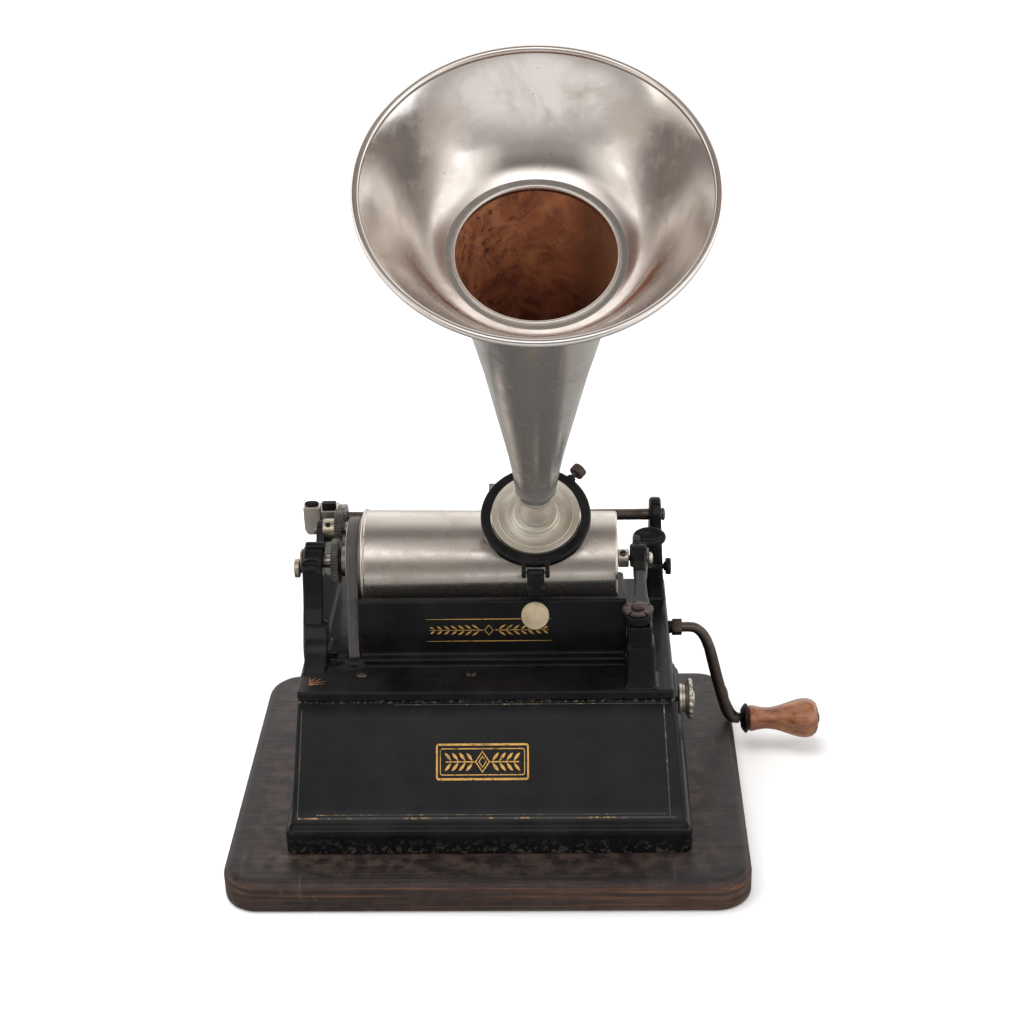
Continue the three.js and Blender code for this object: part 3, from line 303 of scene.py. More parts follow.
def copper_inside():
    """mottled inside of the horn, with painted shade darkening it toward its small end"""
    mat = Mat("horn_inner_brown")
    to_horn = HORN.inverted()

    def horn_coordinate(row):
        return mat.plus(mat.dot(mat.coords, tuple(row[:3])), row[3] * MM)

    depth = horn_coordinate(to_horn[2])
    side = horn_coordinate(to_horn[0])
    cloud = mat.noise(24, detail=7, rough=0.70, distortion=1.6)
    mottle = mat.noise(80, detail=6, rough=0.72, distortion=0.8)
    color = mat.mix(mat.rise(cloud, 0.36, 0.62), (0.62, 0.255, 0.120), (0.255, 0.090, 0.058))
    color = mat.layer(color, (0.70, 0.33, 0.16), mat.rise(mottle, 0.50, 0.62), strength=0.65)
    # plainer brown strip down the right side
    strip = mat.rise(mat.times(side, 30.0), 0.30, 0.55)
    streaks = mat.grain((500, 40, 40), detail=3, rough=0.6)
    brown = mat.mix(streaks, (0.25, 0.120, 0.060), (0.160, 0.075, 0.043))
    color = mat.layer(color, brown, strip, strength=0.85)
    # dark spots, thicker toward the left
    flecks = mat.rise(mat.noise(260, detail=4, rough=0.75), 0.57, 0.63)
    leftward = mat.ramp(mat.times(side, -30.0), (0.0, 0.25), (0.6, 1.0))
    color = mat.layer(color, (0.030, 0.012, 0.012), mat.times(flecks, leftward), strength=0.8)
    # painted shade: the colour darkens toward the narrow end of the horn, where little light reaches
    throat_shade = mat.fall(mat.times(depth, 5.0), 0.34, 0.80)
    color = mat.layer(color, (0.050, 0.017, 0.026), throat_shade, strength=0.86)
    return mat.finish(color=color, metal=0.30, rough=mat.plus(mat.times(mottle, 0.25), 0.34),
                      normal=mat.bump(mat.plus(cloud, mottle), strength=0.22, distance=0.0005))


def oak():
    """dark stained oak, long grain along X"""
    mat = Mat("oak_dark_stain")
    figure = mat.grain((3.2, 95, 260), detail=6, rough=0.60, distortion=0.5)
    fibre = mat.grain((11, 520, 1200), detail=4, rough=0.7, distortion=0.2)
    pores = mat.rise(mat.grain((42, 1300, 1900), detail=3, rough=0.8), 0.60, 0.68)
    blotch = mat.noise(15, detail=5, rough=0.6)
    color = mat.mix(mat.rise(figure, 0.36, 0.66), (0.0090, 0.0074, 0.0080), (0.0190, 0.0145, 0.0145))
    color = mat.layer(color, (0.052, 0.037, 0.032), mat.rise(fibre, 0.48, 0.72), strength=0.40)
    color = mat.layer(color, (0.046, 0.040, 0.042), mat.rise(blotch, 0.48, 0.70), strength=0.30)
    # upright faces show the warm wood under the stain
    upright = mat.fall(mat.math("ABSOLUTE", mat.normal_z()), 0.30, 0.86)
    bands = mat.grain((5, 60, 520), detail=5, rough=0.62, distortion=0.4)
    warm = mat.mix(mat.rise(bands, 0.44, 0.60), (0.030, 0.017, 0.013), (0.26, 0.115, 0.060))
    warm = mat.mix(mat.rise(fibre, 0.42, 0.62), warm, (0.060, 0.028, 0.018))
    patches = mat.grain((7, 60, 200), detail=5, rough=0.65)
    showing = mat.times(upright, mat.ramp(patches, (0.42, 0.15), (0.62, 1.0)))
    color = mat.mix(showing, color, warm)
    broken = mat.rise(mat.noise(150, detail=4, rough=0.6), 0.42, 0.60)
    worn = mat.times(mat.edges(0.515, 0.56), broken)
    color = mat.layer(color, (0.19, 0.120, 0.092), worn, strength=0.28)
    color = mat.layer(color, (0.005, 0.004, 0.004), pores, strength=0.8)
    scuffs = mat.rise(mat.grain((260, 20, 60), detail=3, rough=0.6, turn=0.5), 0.66, 0.72)
    color = mat.layer(color, (0.11, 0.085, 0.072), scuffs, strength=0.22)
    height = mat.plus(mat.times(figure, 0.6), mat.times(fibre, 0.6))
    height = mat.minus(height, mat.times(pores, 0.9))
    return mat.finish(color=color, rough=mat.plus(mat.times(blotch, 0.22), 0.33),
                      normal=mat.bump(height, strength=0.40, distance=0.0005),
                      coat=0.06, coat_rough=0.30, spec=0.26)


def mahogany():
    mat = Mat("mahogany_turned")
    figure = mat.grain((30, 230, 230), detail=6, rough=0.6, distortion=1.0)
    fibre = mat.grain((110, 1500, 1500), detail=4, rough=0.7, distortion=0.2)
    color = mat.mix(mat.rise(figure, 0.34, 0.66), (0.125, 0.036, 0.015), (0.36, 0.135, 0.050))
    color = mat.layer(color, (0.085, 0.026, 0.012), mat.rise(fibre, 0.45, 0.70), strength=0.5)
    wear = mat.rise(mat.noise(75, detail=5, rough=0.6), 0.50, 0.66)
    color = mat.layer(color, (0.46, 0.22, 0.10), wear, strength=0.45)
    return mat.finish(color=color, rough=mat.plus(mat.times(wear, 0.2), 0.26),
                      coat=0.55, coat_rough=0.14,
                      normal=mat.bump(mat.plus(figure, fibre), strength=0.16, distance=0.0003))


def leather():
    mat = Mat("belt_leather_dark")
    cloud = mat.noise(130, detail=5, rough=0.65)
    cells = mat.voronoi(1400)
    color = mat.mix(mat.rise(cloud, 0.35, 0.68), (0.020, 0.018, 0.018), (0.055, 0.049, 0.048))
    worn = mat.times(mat.edges(0.52, 0.60), mat.noise(300, detail=3, rough=0.6))
    color = mat.mix(worn, color, (0.085, 0.072, 0.066))
    streaks = mat.rise(mat.grain((900, 60, 60), detail=4, rough=0.7), 0.45, 0.70)
    color = mat.layer(color, (0.014, 0.012, 0.012), streaks, strength=0.5)
    return mat.finish(color=color, rough=0.50, sheen=0.1,
                      normal=mat.bump(mat.plus(cells, cloud), strength=0.30, distance=0.0003))


def gilt(name, gold, threshold):
    """gold paint worn through to the dark; a higher threshold keeps less of it"""
    mat = Mat(name)
    fine = mat.noise(520, detail=5, rough=0.75)
    broad = mat.grain((110, 110, 110), detail=4, rough=0.7)
    left = mat.times(mat.rise(fine, threshold, threshold + 0.11),
                     mat.ramp(broad, (0.30, 0.35), (0.46, 1.0)))
    color = mat.mix(left, (0.020, 0.016, 0.012), gold)
    return mat.finish(color=color, metal=mat.times(left, 0.55), rough=0.42)


def gilt_faint():
    mat = Mat("gilt_remnants")
    fine = mat.noise(330, detail=5, rough=0.8)
    broad = mat.grain((45, 45, 45), detail=3, rough=0.7)
    left = mat.times(mat.rise(fine, 0.50, 0.58), mat.rise(broad, 0.48, 0.60))
    color = mat.mix(left, (0.010, 0.010, 0.010), (0.50, 0.29, 0.08))
    return mat.finish(color=color, metal=mat.times(left, 0.5), rough=0.34, coat=0.4)


def iron():
    mat = Mat("iron_machined")
    brush = mat.grain((30, 30, 900), detail=3, rough=0.7)
    cloud = mat.noise(110, detail=5, rough=0.65)
    color = mat.mix(mat.rise(cloud, 0.35, 0.7), (0.36, 0.345, 0.33), (0.15, 0.135, 0.12))
    return mat.finish(color=color, metal=0.95, rough=mat.plus(mat.times(brush, 0.2), 0.28),
                      normal=mat.bump(cloud, strength=0.15, distance=0.0003))


def plain(name, color, rough):
    mat = Mat(name)
    cloud = mat.noise(300, detail=5, rough=0.6)
    mottled = mat.mix(mat.rise(cloud, 0.3, 0.7), scaled_colour(color, 0.7, 0.7, 0.7),
                      scaled_colour(color, 1.3, 1.3, 1.3))
    return mat.finish(color=mottled, rough=mat.plus(mat.times(cloud, 0.2), rough - 0.1),
                      normal=mat.bump(cloud, strength=0.12, distance=0.0003))


MAT = {
    "oak": oak(),
    "japan": japan("japan_black", gloss=0.20, chips=True),
    "japan_ring": japan("japan_ring", gloss=0.12, chips=False),
    "nickel": nickel("nickel_parts", (0.56, 0.52, 0.46), tarnish=0.85, lines=0.08),
    "nickel_x": nickel("nickel_mandrel", (0.60, 0.555, 0.51), along="x", rough=0.20,
                       tarnish=0.42, spots=0.75, aniso=0.4, metal=0.94),
    "nickel_horn": nickel("nickel_horn", (0.66, 0.625, 0.59), rough=0.16, spots=0.45, metal=0.86),
    "nickel_bell": nickel("nickel_bell", (0.80, 0.755, 0.725), rough=0.12, spots=0.45, metal=1.0),
    "nickel_disc": nickel("nickel_reproducer", (0.60, 0.565, 0.49), rough=0.28, tarnish=0.75,
                          lines=0.06, spots=0.8, metal=0.82),
    "button": nickel("nickel_worn_button", (0.50, 0.42, 0.29), rough=0.45, tarnish=1.0,
                     lines=0.15, spots=1.0, metal=0.75, pits=900),
    "steel": steel("steel_browned_rod", (0.135, 0.112, 0.098), rough=0.32, rust=0.7,
                   rust_color=(0.062, 0.042, 0.034)),
    "steel_bright": steel("steel_clean", (0.34, 0.32, 0.30), rough=0.28, rust=0.40),
    "steel_hub": steel("steel_hub_dark", (0.065, 0.050, 0.045), rough=0.38, rust=0.6,
                       rust_color=(0.045, 0.030, 0.026)),
    "screw": steel("screw_browned", (0.098, 0.075, 0.070), rough=0.36, rust=0.60,
                   rust_color=(0.060, 0.040, 0.036)),
    "screw_black": steel("screw_black", (0.032, 0.030, 0.032), rough=0.42, rust=0.5,
                         rust_color=(0.02, 0.017, 0.016)),
    "ferrule": steel("ferrule_black", (0.030, 0.026, 0.028), rough=0.34, rust=0.5,
                     rust_color=(0.05, 0.036, 0.030)),
    "brass": brass(),
    "gear_steel": steel("gear_steel_dull", (0.15, 0.145, 0.135), rough=0.34, rust=0.7,
                        rust_color=(0.055, 0.045, 0.035)),
    "gear_nickel": nickel("gear_nickelled", (0.42, 0.41, 0.39), along="x", tarnish=0.7),
    "collar": nickel("collar_yellowed", (0.46, 0.42, 0.31), along="x", rough=0.28, tarnish=0.8),
    "copper": copper_inside(),
    "mahogany": mahogany(),
    "leather": leather(),
    "gilt": gilt("gilt_bright", gold=(0.60, 0.34, 0.085), threshold=0.36),
    "gilt_worn": gilt("gilt_worn", gold=(0.42, 0.17, 0.055), threshold=0.43),
    "faint": gilt_faint(),
    "iron": iron(),
    "mica": plain("mica_sheet", (0.75, 0.70, 0.58), rough=0.3),
    "rubber": plain("rubber_old", (0.03, 0.027, 0.024), rough=0.7),
}


# --------------------------------------------------------------- meshing ----
def link(name, mesh):
    obj = bpy.data.objects.new(name, mesh)
    bpy.context.scene.collection.objects.link(obj)
    return obj


def shade(mesh, sharp):
    """smooth shading, with edges steeper than sharp degrees kept crisp"""
    for face in mesh.polygons:
        face.use_smooth = True
    if sharp < 179:
        mesh.set_sharp_from_angle(angle=radians(sharp))
    mesh.update()


def make(name, verts, faces, mats, face_slots=(), place=LOCAL, sharp=32):
    """vertices in millimetres -> welded object in metres"""
    mesh = bpy.data.meshes.new(name)
    mesh.from_pydata([tuple((place @ Vector(v)) * MM) for v in verts], [], faces)
    for key in mats if isinstance(mats, list) else [mats]:
        mesh.materials.append(MAT[key])
    for face, slot in zip(mesh.polygons, face_slots):
        face.material_index = slot
    bm = bmesh.new()
    bm.from_mesh(mesh)
    bmesh.ops.remove_doubles(bm, verts=bm.verts, dist=1e-4 * MM)
    bmesh.ops.recalc_face_normals(bm, faces=bm.faces)
    bm.to_mesh(mesh)
    bm.free()
    shade(mesh, sharp)
    return link(name, mesh)


def fillet(profile, closed, arc):
    """rounds each corner of (r, h[, radius[, slot]]) points; returns (r, h, slot)"""
    count = len(profile)
    out = []
    for i, point in enumerate(profile):
        r, h, radius, slot = (*point, 0, 0)[:4]
        if not radius or (not closed and i in (0, count - 1)):
            out.append((r, h, slot))
            continue
        corner = Vector((r, h))
        back = Vector(profile[i - 1][:2]) - corner
        ahead = Vector(profile[(i + 1) % count][:2]) - corner
        back_len, ahead_len = back.length, ahead.length
        if back_len < 1e-6 or ahead_len < 1e-6:
            out.append((r, h, slot))
            continue
        back /= back_len
        ahead /= ahead_len
        angle = math.acos(max(-1, min(1, back.dot(ahead))))
        if angle > PI - 0.02:
            out.append((r, h, slot))
            continue
        trim = min(radius / math.tan(angle / 2), back_len * 0.48, ahead_len * 0.48)
        fitted = trim * math.tan(angle / 2)
        start = corner + back * trim
        end = corner + ahead * trim
        centre = corner + (back + ahead).normalized() * (fitted / sin(angle / 2))
        first = math.atan2(start.y - centre.y, start.x - centre.x)
        last = math.atan2(end.y - centre.y, end.x - centre.x)
        swing = (last - first + PI) % (2 * PI) - PI
        for k in range(arc + 1):
            turn = first + swing * k / arc
            out.append((centre.x + fitted * cos(turn), centre.y + fitted * sin(turn), slot))
    return out


def lathe(name, profile, place, mats, steps, arc=4, sharp=32, warp=None, closed=False):
    """revolve (r, h[, fillet radius[, slot]]) about local z; a slot colours the strip
    that starts at its point"""
    points = fillet(profile, closed, arc)
    verts, faces, slots, rows = [], [], [], []
    for r, h, _ in points:
        if r < 1e-6:
            rows.append([len(verts)] * steps)
            verts.append((0, 0, h))
            continue
        row = []
        for k in range(steps):
            turn = 2 * PI * k / steps
            radius, height = warp(r, h, turn) if warp else (r, h)
            row.append(len(verts))
            verts.append((radius * cos(turn), radius * sin(turn), height))
        rows.append(row)
    count = len(points)
    for i in range(count if closed else count - 1):
        low, high = rows[i], rows[(i + 1) % count]
        for k in range(steps):
            after = (k + 1) % steps
            face = list(dict.fromkeys((low[k], low[after], high[after], high[k])))
            if len(face) > 2:
                faces.append(face)
                slots.append(points[i][2])
    return make(name, verts, faces, mats, slots, place, sharp)


def ring(*args, **options):
    """lathe of a section that closes on itself"""
    return lathe(*args, closed=True, **options)


def rod(radius, low, high):
    """lathe profile of a plain cylinder"""
    return [(0, low), (radius, low), (radius, high), (0, high)]


def rect(x0, x1, y0, y1):
    return [(x0, y0), (x1, y0), (x1, y1), (x0, y1)]


def round_rect(x0, x1, y0, y1, r, steps):
    corners = ((x1 - r, y1 - r, 0), (x0 + r, y1 - r, 90), (x0 + r, y0 + r, 180), (x1 - r, y0 + r, 270))
    points = []
    for cx, cy, start in corners:
        for i in range(steps + 1):
            turn = radians(start + 90 * i / steps)
            points.append((cx + r * cos(turn), cy + r * sin(turn)))
    return points


def level_ring(x0, x1, y0, y1, r, z, steps=10):
    """rounded rectangle lying flat at height z"""
    return [(x, y, z) for x, y in round_rect(x0, x1, y0, y1, r, steps)]


def block(name, bottom, top, mat, place=LOCAL):
    """solid between two rings of equal count"""
    count = len(bottom)
    faces = [list(range(count))[::-1], list(range(count, 2 * count))]
    faces += [[i, (i + 1) % count, count + (i + 1) % count, count + i] for i in range(count)]
    return make(name, bottom + top, faces, mat, place=place)


def prism(name, outline, low, high, place, mat):
    """outline in local xy, thickness along local z"""
    return block(name, [(x, y, low) for x, y in outline], [(x, y, high) for x, y in outline],
                 mat, place)


def loft(name, rings, mat, closed=False, sharp=32):
    """skin over rings of equal count, capped unless closed"""
    count, total = len(rings[0]), len(rings)
    faces = []
    for i in range(total if closed else total - 1):
        a, b = i * count, ((i + 1) % total) * count
        faces += [[a + k, a + (k + 1) % count, b + (k + 1) % count, b + k] for k in range(count)]
    if not closed:
        faces.append(list(range(count))[::-1])
        faces.append([(total - 1) * count + k for k in range(count)])
    return make(name, [p for row in rings for p in row], faces, mat, sharp=sharp)


def smooth_path(points, steps, closed=False):
    """Catmull-Rom through the points"""
    knots = [Vector(p) for p in points]
    count = len(knots)
    out = []
    for i in range(count if closed else count - 1):
        p0 = knots[i - 1] if (i > 0 or closed) else knots[0]
        p1, p2 = knots[i], knots[(i + 1) % count]
        p3 = knots[(i + 2) % count] if (closed or i + 2 < count) else knots[-1]
        for j in range(steps):
            t = j / steps
            out.append(0.5 * ((2 * p1) + (-p0 + p2) * t + (2 * p0 - 5 * p1 + 4 * p2 - p3) * t * t
                              + (-p0 + 3 * p1 - 3 * p2 + p3) * t ** 3))
    if not closed:
        out.append(knots[-1])
    return out


def apply_modifiers(obj):
    depsgraph = bpy.context.evaluated_depsgraph_get()
    depsgraph.update()
    mesh = bpy.data.meshes.new_from_object(obj.evaluated_get(depsgraph))
    obj.modifiers.clear()
    old = obj.data
    obj.data = mesh
    bpy.data.meshes.remove(old)


def bevel(obj, width, segments=2, limit=30):
    mod = obj.modifiers.new("edge", "BEVEL")
    mod.width = width * MM
    mod.segments = segments
    mod.limit_method = "ANGLE"
    mod.angle_limit = radians(limit)
    mod.harden_normals = False
    mod.use_clamp_overlap = True
    apply_modifiers(obj)
    shade(obj.data, 40)
    return obj


def cut(obj, tool):
    mod = obj.modifiers.new("cut", "BOOLEAN")
    mod.object = tool
    mod.operation = "DIFFERENCE"
    mod.solver = "EXACT"
    apply_modifiers(obj)
    bpy.data.objects.remove(tool, do_unlink=True)


def bore(obj, profile, place, steps):
    cut(obj, lathe("cutter", profile, place, "iron", steps))


def join(name, objs):
    bm = bmesh.new()
    for obj in objs:
        bm.from_mesh(obj.data)
    mesh = bpy.data.meshes.new(name)
    bm.to_mesh(mesh)
    bm.free()
    for material in objs[0].data.materials:
        mesh.materials.append(material)
    joined = link(name, mesh)
    for obj in objs:
        bpy.data.objects.remove(obj, do_unlink=True)
    return joined


def cast(name, parts, mat, voxel, smooth):
    """fuse overlapping parts into one skin with softened edges, as a casting has"""
    obj = join(name, parts)
    fuse = obj.modifiers.new("fuse", "REMESH")
    fuse.mode = "VOXEL"
    fuse.voxel_size = voxel * MM
    fuse.use_smooth_shade = True
    soften = obj.modifiers.new("soften", "SMOOTH")
    soften.iterations = smooth
    soften.factor = 0.5
    apply_modifiers(obj)
    obj.data.materials.clear()
    obj.data.materials.append(MAT[mat])
    for face in obj.data.polygons:
        face.material_index = 0
    shade(obj.data, 180)
    return obj


def fit(obj, body, *solids):
    """ride a body of the frame, in place of the named solids"""
    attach(obj, body)
    if solids:
        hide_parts(*solids)


def refine(solid, mat, body, width, segments=2):
    """a bevelled copy of a solid of the frame"""
    mesh = nodes[solid].data.copy()
    mesh.name = solid + "_fine"
    mesh.materials.clear()
    mesh.materials.append(MAT[mat])
    bm = bmesh.new()
    bm.from_mesh(mesh)
    bmesh.ops.remove_doubles(bm, verts=bm.verts, dist=0.002 * MM)
    bmesh.ops.dissolve_limit(bm, angle_limit=radians(0.6), verts=bm.verts, edges=bm.edges)
    bm.to_mesh(mesh)
    bm.free()
    obj = link(solid + "_fine", mesh)
    shade(mesh, 32)
    if width:
        bevel(obj, width, segments)
    fit(obj, body, solid)


def move(obj, place):
    """apply a matrix given in millimetres to a finished mesh"""
    for step in (Matrix.Scale(1 / MM, 4), place, Matrix.Scale(MM, 4)):
        obj.data.transform(step)


def screw(name, place, mat, body, solids=(), *, radius, height, dome, slot, steps, turn, shank=None):
    """slotted head on local z 0, rising along +z; slot is (width, depth), shank (radius, length)"""
    profile = [(0, height), (radius * 0.45, height - dome * 0.12),
               (radius * 0.75, height - dome * 0.42), (radius * 0.93, height - dome * 0.8),
               (radius, height - dome * 1.15), (radius, 0.12), (radius * 0.95, 0.0)]
    if shank:
        thick, length = shank
        profile += [(thick, 0.0), (thick, -length + 0.3), (thick * 0.7, -length), (0, -length)]
    else:
        profile.append((0, 0))
    obj = lathe(name, profile, LOCAL, mat, steps)
    half = slot[0] / 2
    tool = prism("cutter", rect(-2 * radius, 2 * radius, -half, half), height - slot[1],
                 height + 3, LOCAL, mat)
    tool.data.transform(Matrix.Rotation(turn, 4, "Z"))
    cut(obj, tool)
    move(obj, place)
    shade(obj.data, 35)
    fit(obj, body, *solids)


def knurled(name, profile, place, mat, ridges, depth, low, high, steps=None):
    """lathe whose strip from low to high carries ridges along the axis"""
    def ridge(r, h, turn):
        if low <= h <= high and r > 1.0:
            r -= depth * (0.5 + 0.5 * cos(turn * ridges))
        return r, h
    return lathe(name, profile, place, mat, steps or ridges * 4, arc=3, sharp=50, warp=ridge)


# ================================================================ base ======
def baseboard():
    low_round, top_round, top = 1.6, 4.2, 15

    def outline(inset, z):
        return level_ring(-114.3 + inset, 114.3 - inset, -86.0 + inset, 86.0 - inset,
                          16.0 - inset, z, 14)

    rings = []
    for degrees in (90, 60, 30, 0):
        t = radians(degrees)
        rings.append(outline(low_round - low_round * cos(t), low_round - low_round * sin(t)))
    for degrees in (0, 15, 30, 45, 60, 75, 90):
        t = radians(degrees)
        rings.append(outline(top_round - top_round * cos(t), top - top_round + top_round * sin(t)))
    board = loft("baseboard_oak", rings, "oak", sharp=60)
    bolts = ((-76, -52), (76, -52), (-76, 60), (76, 60))
    for x, y in bolts:
        bore(board, [(0, -3), (4.8, -3), (4.8, 5), (2.2, 5), (2.2, 16), (0, 16)], at(x, y, 0), 28)
    shade(board.data, 40)
    fit(board, "root", "baseboard")
    for i, (x, y) in enumerate(bolts):
        screw("base_bolt_%d" % (i + 1), at(x, y, 4.4) @ rot_x(PI), "steel_bright", "root",
              ("base_screw_%d" % (i + 1),), radius=4.1, height=3.1, dome=1.0, slot=(1.0, 1.1),
              shank=(1.65, 20.5), steps=36, turn=0.4 + i * 0.8)


def case():
    foot_round = 3.0

    def foot(inset, z):
        return level_ring(-87.6 + inset, 89.2 - inset, -65 + inset, 72 - inset, 4.5 - inset, z)

    def wall(z):
        k = (z - FRONT_Z) / FRONT_RISE
        return level_ring(-(85.0 - 2.2 * k), 86.6 - 4.4 * k, FRONT_Y + FRONT_LEAN * k, 71.98, 1.7, z)

    rings = [foot(0.5, 15.0), foot(0.0, 15.6), foot(0.0, 24.6)]
    for degrees in (15, 35, 55, 75):
        t = radians(degrees)
        rings.append(foot(foot_round * (1 - cos(t)), 25.0 + foot_round * sin(t)))
    rings.append(level_ring(-86.0, 87.6, -62.7, 71.6, 2.6, 28.0))
    rings.append(level_ring(-85.25, 86.85, -61.85, 71.8, 1.9, 28.5))
    rings += [wall(z) for z in (29.6, 34, 42, 50, 58, 66, 70.4)]
    rings.append(level_ring(-82.5, 81.9, -31.0, 71.4, 1.6, 71.65))
    # inside, back down
    rings.append(level_ring(-78.8, 78.8, -26.2, 68.0, 2.0, 71.65))
    rings.append(level_ring(-81.4, 81.4, -57.0, 68.0, 2.0, 28.0))
    rings.append(level_ring(-81.4, 81.4, -57.0, 68.0, 2.0, 15.0))
    shell = loft("case_shell", rings, "japan", closed=True, sharp=38)
    for axis, radius in ((CRANK, 3.5), (BRAKE, 2.6)):
        bore(shell, rod(radius, 70, 95), along_x(*axis), 40)
    shade(shell.data, 38)
    fit(shell, "root", "case_casting")


# outlines across X, as (y, z)
APRON = [(-4.9, 75.0), (-4.8, 80.0), (APRON_Y, 81.0), (APRON_Y, 106.3), (-3.9, 107.0),
         (-1.0, 107.0), (-1.0, 75.0)]
APRON_STEP = [(-9.6, 75.0), (-8.9, 76.6), (-8.6, 77.4), (-8.6, 78.8), (-8.2, 79.5),
              (-7.5, 79.75), (0, 79.75), (0, 75.0)]
LEFT_STANDARD = [(-2.2, 75.0), (-1.6, 82), (3.5, 91), (7.5, 97), (10.5, 103), (12.6, 110.6),
                 (13.0, 112.6), (14.0, 113.5), (19.3, 116.0), (24, 118.0), (30, 118.0),
                 (34.5, 113), (38, 108), (44, 105), (69, 98), (70.5, 80), (70.5, 75)]
STANDARD_FOOT = [(-16.6, 75.0), (-15.6, 76.3), (-11.5, 77.6), (-7.8, 79.2), (-5.0, 81.2),
                 (-3.0, 83.6), (-1.2, 86.8), (2.4, 91.0), (8, 91), (10, 75.0)]
IDLER_RIB = [(30, 90), (31, 108), (38.5, 116.5), (41.5, 120.8), (45.4, 122.2), (49.3, 120.8),
             (51.4, 117), (52.2, 111.4), (67.5, 111.4), (69, 98), (69, 90)]
REAR_POST = [(51, 75), (51.4, 81), (52.2, 94), (53.2, 108), (53.4, 118.5), (56.5, 123),
             (61, 124.6), (65.5, 123), (68.6, 118.5), (69.2, 100), (70.2, 81), (70.2, 75)]
# tiers of the gate post from above, as (x, y)
POST_LOW = [(61.6, -27.1), (62.8, -28.3), (72.6, -28.3), (73.9, -27.1), (73.9, -16.2),
            (72.6, -15), (62.8, -15), (61.6, -16.2)]
POST_HIGH = [(61.9, -26.5), (62.8, -27.4), (71.8, -27.4), (72.7, -26.5), (72.7, -17.4),
             (71.8, -16.5), (62.8, -16.5), (61.9, -17.4)]


def slab(x0, x1, y0, y1, r, z0, z1, edge):
    """flat plate with its top edge rounded"""
    rings = [level_ring(x0, x1, y0, y1, r, z0, 6)]
    for degrees in (0, 30, 60, 90):
        t = radians(degrees)
        i = edge * (1 - cos(t))
        rings.append(level_ring(x0 + i, x1 - i, y0 + i, y1 - i, r - i, z1 - edge + edge * sin(t), 6))
    return loft("part", rings, "japan")


def rear_post():
    """right rear post; the blade widens from the bearing down to the plate"""
    post = prism("part", REAR_POST, 0.0, 1.0, ALONG_X, "japan")
    for vert in post.data.vertices:
        t = min(1.0, max(0.0, (112.0 - vert.co.z / MM) / 36.0))
        vert.co.x = MM * ((74.3 - 1.7 * t) if vert.co.x < 0.5 * MM else (79.5 + 1.6 * t))
    return bevel(post, 1.2, 4, 20)


